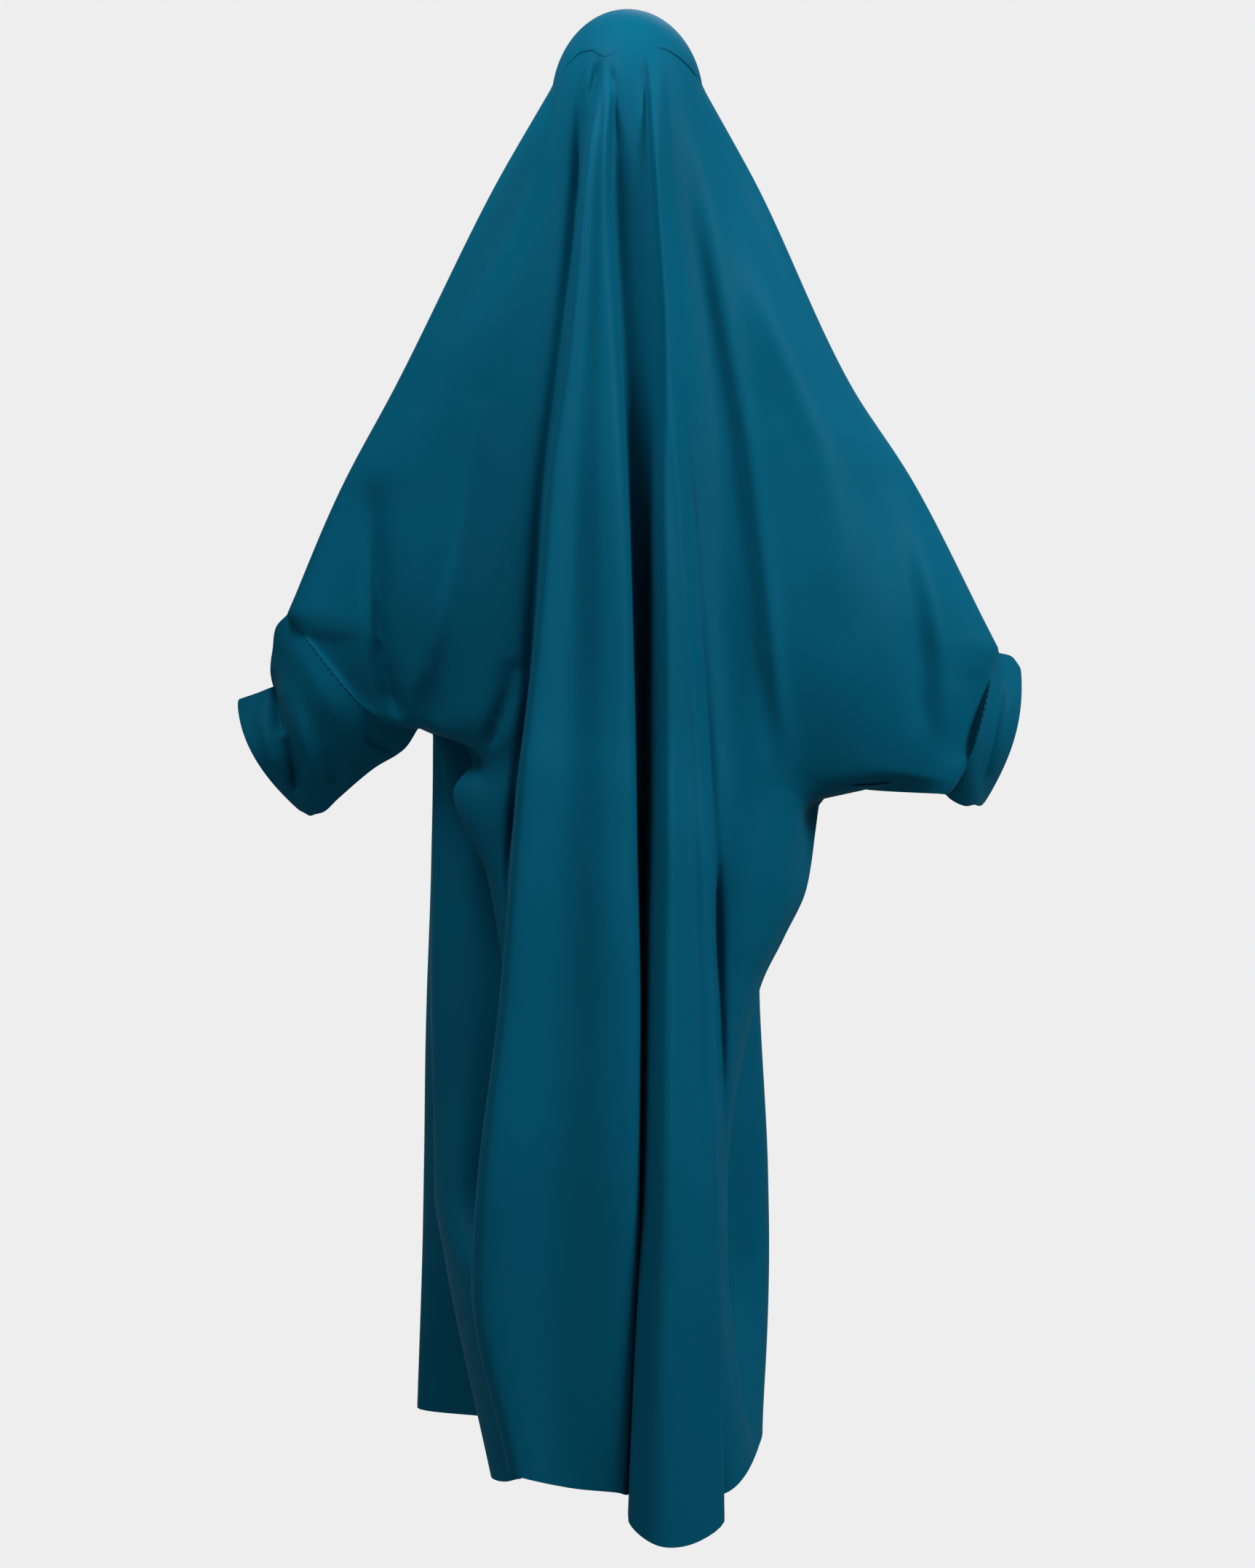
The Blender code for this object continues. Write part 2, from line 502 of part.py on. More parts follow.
def seat_seams(grids):
    """Draw sewn edges back until the walls on both sides of a seam clear each other.
    The sharper the two cloths meet, the further their middles end from the seam."""
    ways = {}
    for name, grid in grids.items():
        ways[name] = {side: (edge.copy(),) + leaving(edge, inner)
                      for side, (edge, inner) in sewn_edges(name, grid).items()}
    seated = {name: grid.copy() for name, grid in grids.items()}
    for name, own in ways.items():
        others = [way for other in ways if other != name for way in ways[other].values()]
        points = np.vstack([way[0] for way in others])
        squares = np.vstack([way[2] for way in others])
        grid = seated[name]
        targets = {"top": grid[0], "bottom": grid[-1], "left": grid[:, 0], "right": grid[:, -1]}
        for side, (edge, inward, square) in own.items():
            pulls = [seam_pull(point, way, points, squares) for point, way in zip(edge, square)]
            targets[side] += np.array(pulls)[:, None] * inward
    return seated


def sleeve_rings(first, rows):
    """Top, bottom, half depth, forward shift and bow of every ring of a sleeve."""
    rings = [first] if first else []
    for _, row in rows:
        rings.append((
            np.array((HALF_SPAN * row["top"][0], 0.0, -HEM_DROP * row["top"][1])),
            np.array((HALF_SPAN * row["bottom"][0], 0.0, -HEM_DROP * row["bottom"][1])),
            ARMHOLE_HALF_DEPTH * row["depth"], DRAPE_DEPTH * row["forward"], row["bow"]))
    return rings


def tube_grid(rings, parts):
    """A tube through rings, each a lens from its top down the back and up the front."""
    count = ROWS_BETWEEN_LEVELS[ELBOW]
    shares = [i / count for i in range(count + 1)] + [i / count for i in range(count - 1, 0, -1)]
    sides = [-1.0] * (count + 1) + [1.0] * (count - 1)
    columns = []
    for share, side in zip(shares, sides):
        path = []
        for top, bottom, depth, forward, bow in rings:
            point = top + share * (bottom - top)
            point = point + bow * bow_offset(point[0], share)
            point[1] = forward + side * depth * lens_bulge(share)
            path.append(point)
        columns.append(spline_across(path, parts))
    return np.array(columns).transpose(1, 0, 2)


def armhole_ring(line):
    """The armhole of one side as a sleeve's first ring."""
    points = line_points(*line)
    return points[ELBOW], points[FOOT], ARMHOLE_HALF_DEPTH, 0.0, 1.0


def build():
    clear_scene()
    collection = bpy.data.collections.new("jilbab")
    bpy.context.scene.collection.children.link(collection)

    back = panel_grid(BACK_LINES, -1.0)
    back[0] = [dome_point(turn, tilt) for turn, tilt in crown_stations()]
    ring = (BACK_LINES[-1],) + FRONT_LINES + (BACK_LINES[0],)
    grids = {"hood_cap": cap_grid(), "back_panel": back, "front_panel": panel_grid(ring, 1.0)}
    for side, line, sleeve_rows, cuff_rows in (
            ("left", BACK_LINES[0], LEFT_SLEEVE, LEFT_CUFF),
            ("right", BACK_LINES[-1], RIGHT_SLEEVE, RIGHT_CUFF)):
        grids[side + "_sleeve"] = tube_grid(sleeve_rings(armhole_ring(line), sleeve_rows), 1)
        grids[side + "_cuff"] = tube_grid(sleeve_rings(None, sleeve_rows[-1:] + cuff_rows), CUFF_ROWS)
    tubes = [name for name in grids if name.endswith(("_sleeve", "_cuff"))]
    for name, grid in seat_seams(grids).items():
        sheet_object(name, grid, collection, closed=name in tubes)


build()
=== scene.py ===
# The looks of the jilbab: a heavy teal crepe drape seen from behind, in the frame of
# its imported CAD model. Metres, +Z up; the pleated back faces -Y, the face opening +Y.

import math

import bpy
import numpy as np
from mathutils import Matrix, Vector, noise


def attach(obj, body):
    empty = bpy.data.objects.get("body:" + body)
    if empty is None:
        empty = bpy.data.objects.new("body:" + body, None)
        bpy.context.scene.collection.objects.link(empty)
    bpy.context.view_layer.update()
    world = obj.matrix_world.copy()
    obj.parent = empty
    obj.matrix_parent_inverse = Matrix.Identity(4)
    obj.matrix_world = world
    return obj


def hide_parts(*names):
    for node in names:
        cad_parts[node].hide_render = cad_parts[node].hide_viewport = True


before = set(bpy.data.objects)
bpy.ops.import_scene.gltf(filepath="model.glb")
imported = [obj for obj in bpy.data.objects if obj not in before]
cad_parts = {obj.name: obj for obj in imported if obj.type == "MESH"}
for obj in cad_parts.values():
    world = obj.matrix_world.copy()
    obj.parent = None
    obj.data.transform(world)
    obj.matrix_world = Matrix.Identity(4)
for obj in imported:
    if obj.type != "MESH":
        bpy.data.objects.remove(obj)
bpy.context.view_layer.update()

# Back panel. One wide cloth is gathered into the crown seam and falls in two deep
# pleats and two batwings. Drape lines run down it; each is a row of the table below,
# and smooth curves through them make the cloth.

HEM_DROP = 1.59          # from the crown down to the level hem
HALF_SPAN = 0.4455       # from the middle out to a cuff
DRAPE_DEPTH = 0.25       # from the arms' plane to the deepest pleat
CLOTH = 0.0016           # thickness of the crepe
HOOD_HALF_WIDTH = 0.084
HOOD_HALF_DEPTH = 0.095
HOOD_RISE = 0.102        # from the temples up to the crown
ARMHOLE_HALF_DEPTH = 0.038
ARMHOLE_BOW = {"left": 0.037, "right": 0.016}    # how far each seam bows out and down
OUT_AND_DOWN = (0.67, 0.74)      # the way it bows
BOW_FULLNESS = 6         # a larger number moves the bow's fullest place down the seam
SLEEVE_ROUNDNESS = 1.2   # 1 is a plain arch; a larger number narrows its ends
BESIDE_ARM = 0.8         # a line with more arm than this follows the armhole's bow
UNDERARM_ARCH = {"left": 0.0, "right": 0.030}    # rise of the cloth between wing and underarm
ARCH_NARROWING = 3.0     # how much shorter the arch gets away from the arm
EVENED_REACH = 0.026     # height over which lines away from the arm are evened out
SIDEWAYS_TILT = 140.0    # below this the cloth leaves the crown seam sideways
SEAM_ALLOWANCE = 1.2     # how far the back's upper edge reaches under the cap, in degrees
FADE_SHARE = 0.15        # share of a fold's length over which each end fades
SWAY_DEPTH = 0.004
SWAY_SIZE = 0.10
SHARP_ANGLE = 65.0       # edges of the cloth that turn more than this are drawn sharp
BEHIND, AHEAD = -1.0, 1.0        # the two sides of the drape, along Y

# The crepe of all pieces: matt, with a fine grain, a soft sheen and a faint change of
# depth from place to place
CREPE_COLOUR = (0.0006, 0.0885, 0.1560, 1.0)
crepe = bpy.data.materials.new("crepe")
crepe.use_nodes = True
nodes = crepe.node_tree.nodes
links = crepe.node_tree.links
shader = nodes["Principled BSDF"]
shader.inputs["Roughness"].default_value = 0.58
shader.inputs["Specular IOR Level"].default_value = 0.03
shader.inputs["Sheen Weight"].default_value = 0.11
shader.inputs["Sheen Roughness"].default_value = 0.35
shader.inputs["Sheen Tint"].default_value = (0.12, 0.50, 0.72, 1.0)
place = nodes.new("ShaderNodeTexCoord")
cloud = nodes.new("ShaderNodeTexNoise")
cloud.inputs["Scale"].default_value = 5.0
cloud.inputs["Detail"].default_value = 2.0
links.new(place.outputs["Object"], cloud.inputs["Vector"])
depth_of_dye = nodes.new("ShaderNodeMapRange")
depth_of_dye.inputs["To Min"].default_value = 0.90
depth_of_dye.inputs["To Max"].default_value = 1.10
links.new(cloud.outputs["Fac"], depth_of_dye.inputs["Value"])
dye = nodes.new("ShaderNodeHueSaturation")
dye.inputs["Color"].default_value = CREPE_COLOUR
links.new(depth_of_dye.outputs["Result"], dye.inputs["Value"])
links.new(dye.outputs["Color"], shader.inputs["Base Color"])
grain = nodes.new("ShaderNodeTexNoise")
grain.inputs["Scale"].default_value = 1600.0
grain.inputs["Detail"].default_value = 1.0
links.new(place.outputs["UV"], grain.inputs["Vector"])
bump = nodes.new("ShaderNodeBump")
bump.inputs["Strength"].default_value = 0.25
bump.inputs["Distance"].default_value = 0.0002
links.new(grain.outputs["Fac"], bump.inputs["Height"])
links.new(bump.outputs["Normal"], shader.inputs["Normal"])

# Mesh rows between two levels and mesh columns between two drape lines
ROWS_BETWEEN_LEVELS = (22, 28, 15, 16, 32, 6, 10, 12, 14, 14, 26, 12, 28)
COLUMNS_OF_BACK = (4, 12, 12, 9, 8, 6, 5, 4, 9, 8, 6, 4, 5,
                   5, 5, 6, 7, 5, 7, 8, 9, 13, 13, 10, 4)

# Levels down the drape: drop at the left and at the right, shares of HEM_DROP
LEVELS = {
    "crown": (0.045, 0.045),
    "nape": (0.120, 0.120),
    "shoulder": (0.260, 0.260),
    "upper_arm": (0.335, 0.330),
    "elbow": (0.420, 0.447),
    "armhole_foot": (0.484, 0.555),
    "underarm": (0.479, 0.583),
    "lip": (0.460, 0.646),
    "pouch": (0.502, 0.658),
    "waist": (0.571, 0.681),
    "hip": (0.685, 0.685),
    "knee": (0.818, 0.818),
    "shin": (0.870, 0.870),
    "hem": (1.000, 1.000),
}
LEVEL_NAMES = tuple(LEVELS)
ELBOW = LEVEL_NAMES.index("elbow")
FOOT = LEVEL_NAMES.index("armhole_foot")
UNDERARM = LEVEL_NAMES.index("underarm")

# Drape lines of the back panel, from its left edge to its right edge.
# turn and tilt: the line's place on the crown seam, in degrees on the dome.
# hem: how low the line ends, a share of HEM_DROP.
# arm: how near the line is to the arm, from 1 on the armhole seam to 0 away from it.
# across: shares of HALF_SPAN at nape, shoulder, upper arm, elbow, armhole foot and
# underarm, then at lip, pouch, waist, hip, knee, shin and hem.
# depth: shares of DRAPE_DEPTH there.
BACK_LINES = {
    "seam_left": dict(
        turn=12, tilt=90, hem=1.004, arm=1.0,
        across=(-0.313, -0.564, -0.704, -0.848, -0.523, -0.484,
                -0.400, -0.360, -0.310, -0.264, -0.308, -0.367, -0.257),
        depth=(0.14, 0.08, 0.04, 0.00, 0.00, 0.00,
               0.02, -0.04, -0.14, -0.20, -0.24, -0.60, -0.70)),
    "ridge_left": dict(
        turn=12, tilt=128, hem=1.002, arm=0.9,
        across=(-0.322, -0.572, -0.712, -0.840, -0.498, -0.469,
                -0.359, -0.426, -0.339, -0.300, -0.335, -0.362, -0.242),
        depth=(-0.02, -0.02, -0.04, -0.06, -0.11, -0.12,
               -0.20, -0.25, -0.30, -0.34, -0.36, -0.63, -0.71)),
    "wing_left_outer": dict(
        turn=17, tilt=155, hem=0.997, arm=0.5,
        across=(-0.230, -0.491, -0.638, -0.612, -0.487, -0.457,
                -0.354, -0.410, -0.333, -0.288, -0.322, -0.358, -0.229),
        depth=(-0.10, -0.12, -0.12, -0.17, -0.20, -0.18,
               -0.22, -0.31, -0.35, -0.38, -0.40, -0.65, -0.73)),
    "wing_left_inner": dict(
        turn=32, tilt=152, hem=0.997, arm=0.2,
        across=(-0.202, -0.368, -0.401, -0.463, -0.462, -0.432,
                -0.348, -0.386, -0.325, -0.276, -0.308, -0.354, -0.217),
        depth=(-0.20, -0.23, -0.26, -0.32, -0.26, -0.30,
               -0.24, -0.36, -0.38, -0.42, -0.44, -0.67, -0.74)),
    "wing_left_face": dict(
        turn=40, tilt=150, hem=0.996, arm=0.0,
        across=(-0.179, -0.279, -0.324, -0.367, -0.376, -0.366,
                -0.333, -0.351, -0.315, -0.270, -0.303, -0.352, -0.213),
        depth=(-0.26, -0.30, -0.33, -0.38, -0.40, -0.42,
               -0.27, -0.40, -0.41, -0.44, -0.46, -0.68, -0.74)),
    "wing_left_rim": dict(
        turn=46, tilt=149, hem=0.996, arm=0.0,
        across=(-0.145, -0.199, -0.234, -0.259, -0.276, -0.278,
                -0.288, -0.297, -0.304, -0.266, -0.300, -0.351, -0.209),
        depth=(-0.28, -0.37, -0.40, -0.42, -0.43, -0.43,
               -0.38, -0.43, -0.43, -0.46, -0.48, -0.68, -0.75)),
    "valley_left": dict(
        turn=52, tilt=148, hem=0.996, arm=0.0,
        across=(-0.119, -0.168, -0.201, -0.227, -0.252, -0.259,
                -0.265, -0.275, -0.290, -0.262, -0.297, -0.350, -0.206),
        depth=(-0.26, -0.36, -0.38, -0.38, -0.38, -0.38,
               -0.38, -0.38, -0.43, -0.48, -0.50, -0.69, -0.75)),
    "fold_a_left": dict(
        turn=63, tilt=152, hem=0.996, arm=0.0,
        across=(-0.107, -0.155, -0.192, -0.218, -0.250, -0.253,
                -0.258, -0.268, -0.282, -0.303, -0.358, -0.368, -0.281),
        depth=(-0.43, -0.49, -0.52, -0.56, -0.61, -0.62,
               -0.63, -0.64, -0.66, -0.69, -0.74, -0.73, -0.70)),
    "fold_a_crest": dict(
        turn=69, tilt=158, hem=0.998, arm=0.0,
        across=(-0.094, -0.140, -0.178, -0.204, -0.236, -0.239,
                -0.244, -0.254, -0.268, -0.289, -0.343, -0.354, -0.267),
        depth=(-0.54, -0.58, -0.61, -0.65, -0.71, -0.72,
               -0.73, -0.74, -0.77, -0.79, -0.84, -0.83, -0.80)),
    "fold_a_dip": dict(
        turn=73, tilt=160, hem=1.007, arm=0.0,
        across=(-0.076, -0.106, -0.123, -0.128, -0.141, -0.140,
                -0.142, -0.145, -0.149, -0.157, -0.175, -0.178, -0.138),
        depth=(-0.53, -0.56, -0.59, -0.62, -0.67, -0.68,
               -0.69, -0.70, -0.72, -0.75, -0.80, -0.80, -0.78)),
    "fold_a_ridge": dict(
        turn=78, tilt=160, hem=1.010, arm=0.0,
        across=(-0.057, -0.060, -0.060, -0.055, -0.051, -0.049,
                -0.047, -0.046, -0.042, -0.039, -0.027, -0.023, -0.021),
        depth=(-0.55, -0.59, -0.63, -0.67, -0.71, -0.72,
               -0.73, -0.74, -0.77, -0.79, -0.84, -0.83, -0.80)),
    "fold_a_edge": dict(
        turn=80, tilt=160, hem=1.012, arm=0.0,
        across=(-0.050, -0.031, -0.018, -0.003, 0.004, 0.006,
                0.008, 0.009, 0.015, 0.019, 0.016, 0.011, -0.006),
        depth=(-0.52, -0.58, -0.62, -0.66, -0.69, -0.70,
               -0.71, -0.72, -0.74, -0.77, -0.82, -0.81, -0.78)),
    "fold_a_right": dict(
        turn=84, tilt=158, hem=1.013, arm=0.0,
        across=(-0.041, -0.020, -0.006, 0.008, 0.017, 0.018,
                0.020, 0.022, 0.027, 0.031, 0.028, 0.023, 0.006),
        depth=(-0.43, -0.51, -0.56, -0.60, -0.61, -0.62,
               -0.63, -0.64, -0.66, -0.69, -0.74, -0.73, -0.70)),
    "recess": dict(
        turn=90, tilt=155, hem=1.009, arm=0.0,
        across=(-0.027, -0.004, 0.010, 0.019, 0.024, 0.024,
                0.024, 0.024, 0.024, 0.024, 0.016, 0.011, 0.012),
        depth=(-0.41, -0.44, -0.44, -0.44, -0.46, -0.46,
               -0.46, -0.47, -0.48, -0.50, -0.54, -0.57, -0.62)),
    "valley_middle": dict(
        turn=97, tilt=153, hem=1.010, arm=0.0,
        across=(0.010, 0.041, 0.047, 0.045, 0.042, 0.042,
                0.042, 0.042, 0.042, 0.043, 0.041, 0.040, 0.027),
        depth=(-0.43, -0.46, -0.40, -0.32, -0.30, -0.30,
               -0.30, -0.31, -0.33, -0.36, -0.44, -0.50, -0.60)),
    "fold_b_left": dict(
        turn=102, tilt=152, hem=1.028, arm=0.0,
        across=(0.055, 0.080, 0.071, 0.069, 0.065, 0.065,
                0.064, 0.062, 0.055, 0.049, 0.040, 0.028, 0.004),
        depth=(-0.46, -0.51, -0.53, -0.56, -0.58, -0.59,
               -0.61, -0.63, -0.65, -0.68, -0.76, -0.79, -0.84)),
    "fold_b_crest": dict(
        turn=106, tilt=152, hem=1.040, arm=0.0,
        across=(0.068, 0.095, 0.090, 0.096, 0.100, 0.100,
                0.100, 0.100, 0.097, 0.095, 0.092, 0.085, 0.071),
        depth=(-0.51, -0.54, -0.58, -0.64, -0.68, -0.70,
               -0.73, -0.75, -0.77, -0.80, -0.88, -0.90, -0.94)),
    "fold_b_face": dict(
        turn=111, tilt=152, hem=1.041, arm=0.0,
        across=(0.078, 0.113, 0.114, 0.129, 0.142, 0.143,
                0.144, 0.147, 0.148, 0.152, 0.156, 0.154, 0.151),
        depth=(-0.49, -0.51, -0.55, -0.60, -0.61, -0.62,
               -0.65, -0.66, -0.68, -0.71, -0.78, -0.80, -0.88)),
    "fold_b_right": dict(
        turn=115, tilt=151, hem=1.030, arm=0.0,
        across=(0.087, 0.129, 0.136, 0.160, 0.183, 0.184,
                0.188, 0.193, 0.198, 0.206, 0.217, 0.221, 0.228),
        depth=(-0.46, -0.48, -0.50, -0.53, -0.53, -0.54,
               -0.57, -0.58, -0.59, -0.61, -0.67, -0.69, -0.77)),
    "valley_right": dict(
        turn=120, tilt=150, hem=1.018, arm=0.0,
        across=(0.109, 0.164, 0.182, 0.216, 0.242, 0.251,
                0.239, 0.224, 0.203, 0.186, 0.189, 0.192, 0.200),
        depth=(-0.38, -0.39, -0.40, -0.42, -0.44, -0.44,
               -0.45, -0.46, -0.47, -0.48, -0.50, -0.52, -0.62)),
    "wing_right_first": dict(
        turn=126, tilt=150, hem=1.018, arm=0.0,
        across=(0.134, 0.236, 0.269, 0.305, 0.331, 0.332,
                0.314, 0.295, 0.260, 0.225, 0.203, 0.207, 0.222),
        depth=(-0.35, -0.33, -0.35, -0.41, -0.42, -0.40,
               -0.41, -0.42, -0.43, -0.44, -0.46, -0.48, -0.61)),
    "wing_right_inner": dict(
        turn=133, tilt=150, hem=1.016, arm=0.0,
        across=(0.183, 0.304, 0.339, 0.379, 0.418, 0.409,
                0.382, 0.364, 0.318, 0.270, 0.218, 0.220, 0.242),
        depth=(-0.30, -0.34, -0.39, -0.44, -0.36, -0.30,
               -0.32, -0.33, -0.35, -0.38, -0.42, -0.44, -0.60)),
    "wing_right_middle": dict(
        turn=141, tilt=150, hem=1.013, arm=0.2,
        across=(0.220, 0.396, 0.493, 0.577, 0.575, 0.436,
                0.417, 0.406, 0.355, 0.298, 0.229, 0.229, 0.261),
        depth=(-0.20, -0.32, -0.37, -0.40, -0.30, -0.22,
               -0.21, -0.23, -0.27, -0.30, -0.38, -0.40, -0.57)),
    "wing_right_outer": dict(
        turn=152, tilt=150, hem=1.009, arm=0.5,
        across=(0.257, 0.469, 0.604, 0.760, 0.695, 0.459,
                0.441, 0.429, 0.375, 0.314, 0.238, 0.237, 0.281),
        depth=(-0.12, -0.24, -0.24, -0.25, -0.20, -0.10,
               -0.11, -0.14, -0.18, -0.22, -0.32, -0.34, -0.50)),
    "ridge_right": dict(
        turn=168, tilt=128, hem=1.005, arm=0.9,
        across=(0.317, 0.552, 0.712, 0.915, 0.786, 0.473,
                0.457, 0.443, 0.386, 0.321, 0.242, 0.244, 0.300),
        depth=(-0.02, -0.02, -0.04, -0.07, -0.12, -0.06,
               -0.04, -0.06, -0.11, -0.14, -0.24, -0.26, -0.38)),
    "seam_right": dict(
        turn=168, tilt=90, hem=1.000, arm=1.0,
        across=(0.310, 0.548, 0.708, 0.925, 0.795, 0.477,
                0.449, 0.430, 0.333, 0.222, 0.176, 0.176, 0.318),
        depth=(0.14, 0.08, 0.04, 0.00, 0.00, 0.00,
               -0.01, -0.01, -0.02, -0.04, -0.12, -0.12, -0.24)),
}


def dome_point(turn, tilt):
    """A point of the hood: turn from the left pole, tilt from the front over the top."""
    turn = math.radians(turn)
    tilt = math.radians(tilt)
    return np.array((
        -HOOD_HALF_WIDTH * math.cos(turn),
        HOOD_HALF_DEPTH * math.sin(turn) * math.cos(tilt),
        HOOD_RISE * (math.sin(turn) * math.sin(tilt) - 1.0)))


def dome_slope(turn, tilt):
    """The way the hood falls at such a point; none where the cloth leaves it sideways."""
    if tilt < SIDEWAYS_TILT:
        return None
    return dome_point(turn, tilt + 1.0) - dome_point(turn, tilt)


def sunk(points, depth):
    """Points of the hood moved inwards by a depth."""
    middle = np.array((0.0, 0.0, -HOOD_RISE))
    return points + (middle - points) * (depth / HOOD_RISE)


def level_drop(level, across):
    """How far down a level lies at a place across, which runs from -1 to 1."""
    left, right = LEVELS[LEVEL_NAMES[level]]
    return HEM_DROP * (left + (right - left) * (across + 1.0) / 2.0)


def line_points(row, top):
    """The places of one drape line at all levels, the crown first."""
    points = [top]
    for level in range(1, len(LEVELS)):
        across = row["across"][level - 1]
        drop = level_drop(level, across)
        if "face" in row and level == 1:    # halfway from the face opening to the shoulder
            drop = 0.5 * (level_drop(2, row["across"][1]) - top[2])
        if level == len(LEVELS) - 1:
            drop = HEM_DROP * row["hem"]
        depth = DRAPE_DEPTH * row["depth"][level - 1]
        points.append(np.array((HALF_SPAN * across, depth, -drop)))
    return points


def slopes_between(knots, values):
    """Slopes at the knots that let a curve pass them without overshooting."""
    steps = np.diff(knots)
    rates = np.diff(values) / steps
    slopes = np.zeros(len(values))
    slopes[0] = rates[0]
    slopes[-1] = rates[-1]
    for i in range(1, len(values) - 1):
        if rates[i - 1] * rates[i] > 0:
            before = 2 * steps[i] + steps[i - 1]
            after = steps[i] + 2 * steps[i - 1]
            slopes[i] = (before + after) / (before / rates[i - 1] + after / rates[i])
    return slopes


def line_slopes(knots, values, arm):
    """Slopes down a line. One near an arm turns sharply at the elbow and the underarm."""
    slopes = slopes_between(knots, values)
    if arm > BESIDE_ARM:
        upper = slopes_between(knots[:ELBOW + 1], values[:ELBOW + 1])
        lower = slopes_between(knots[UNDERARM:], values[UNDERARM:])
        slopes = np.concatenate((upper, slopes[ELBOW + 1:UNDERARM], (0.0,), lower[1:]))
    return slopes


def smooth_value(knots, values, slopes, place):
    """The value at a place between the knots, on the curve with those slopes."""
    i = min(max(int(np.searchsorted(knots, place)) - 1, 0), len(knots) - 2)
    step = knots[i + 1] - knots[i]
    t = (place - knots[i]) / step
    return ((1 + 2 * t) * (1 - t) ** 2 * values[i] + t * (1 - t) ** 2 * step * slopes[i]
            + t * t * (3 - 2 * t) * values[i + 1] + t * t * (t - 1) * step * slopes[i + 1])


def lens_bulge(share):
    """Half the opening of an armhole or a sleeve ring at a share of its height."""
    return math.sin(math.pi * min(max(share, 0.0), 1.0)) ** SLEEVE_ROUNDNESS


def bow_offset(across, share):
    """How far the bowed armhole seam lies out and down from the straight one."""
    side = "right" if across > 0 else "left"
    reach = ARMHOLE_BOW[side] * share * (1.0 - share ** BOW_FULLNESS)
    return reach * np.array((math.copysign(OUT_AND_DOWN[0], across), 0.0, -OUT_AND_DOWN[1]))


def down_line(points, arm, side, off=None):
    """A drape line sampled at every mesh row. On the armhole seam it bulges to its own
    side, and it leaves its first point in the direction off, if there is one."""
    knots = np.array([(left + right) / 2 for left, right in LEVELS.values()])
    table = np.array(points)
    slopes = [line_slopes(knots, table[:, axis], arm) for axis in range(3)]
    if off is not None:
        for axis in range(2):
            slopes[axis][0] = slopes[2][0] * off[axis] / off[2]
    places = [level + step / count for level, count in enumerate(ROWS_BETWEEN_LEVELS)
              for step in range(count)] + [float(len(ROWS_BETWEEN_LEVELS))]
    samples = []
    for place in places:
        level = min(int(place), len(knots) - 2)
        drop = knots[level] + (place - level) * (knots[level + 1] - knots[level])
        point = np.array([smooth_value(knots, table[:, axis], slopes[axis], drop)
                          for axis in range(3)])
        if ELBOW <= place <= FOOT:
            share = place - ELBOW
            straight = table[ELBOW] + share * (table[FOOT] - table[ELBOW])
            if arm > BESIDE_ARM:
                point = point + arm * (straight + bow_offset(straight[0], share) - point)
            if arm == 1.0:
                point[1] += side * ARMHOLE_HALF_DEPTH * lens_bulge(share)
        if FOOT < place < UNDERARM:
            rise = arm * UNDERARM_ARCH["right" if point[0] > 0 else "left"]
            narrowing = 1.0 + ARCH_NARROWING * (1.0 - arm)
            point[2] += rise * math.sin(math.pi * (place - FOOT)) ** narrowing
        samples.append(point)
    return evened(np.array(samples), EVENED_REACH * (1.0 - arm) ** 3)


def evened(samples, reach):
    """The same line with its across and its depth evened out over a reach of its height."""
    heights = samples[:, 2].copy()
    weight = np.abs(np.gradient(heights)) + 1e-6
    result = samples.copy()
    for i, height in enumerate(heights):
        near = min(reach, abs(height - heights[0]) / 3, abs(height - heights[-1]) / 3)
        if near > 1e-4:
            share = weight * np.exp(-((heights - height) / near) ** 2)
            result[i, :2] = share @ samples[:, :2] / share.sum()
    return result


def curve_across(columns, counts):
    """Smooth curves through whole columns of points, with so many parts between two."""
    columns = np.array(columns)
    first = 2 * columns[0] - columns[1]
    last = 2 * columns[-1] - columns[-2]
    chain = np.concatenate((first[None], columns, last[None]))
    grid = []
    for i, parts in enumerate(counts):
        p0, p1, p2, p3 = chain[i:i + 4]
        spans = [np.sqrt(np.maximum(np.linalg.norm(b - a, axis=1), 1e-6))[:, None]
                 for a, b in ((p0, p1), (p1, p2), (p2, p3))]
        t1 = spans[0]
        t2 = t1 + spans[1]
        t3 = t2 + spans[2]
        for part in range(parts):
            t = t1 + (t2 - t1) * part / parts
            a1 = (t1 - t) / t1 * p0 + t / t1 * p1
            a2 = (t2 - t) / (t2 - t1) * p1 + (t - t1) / (t2 - t1) * p2
            a3 = (t3 - t) / (t3 - t2) * p2 + (t - t2) / (t3 - t2) * p3
            b1 = (t2 - t) / t2 * a1 + t / t2 * a2
            b2 = (t3 - t) / (t3 - t1) * a2 + (t - t1) / (t3 - t1) * a3
            grid.append((t2 - t) / (t2 - t1) * b1 + (t - t1) / (t2 - t1) * b2)
    grid.append(chain[-2])
    return np.array(grid).transpose(1, 0, 2)


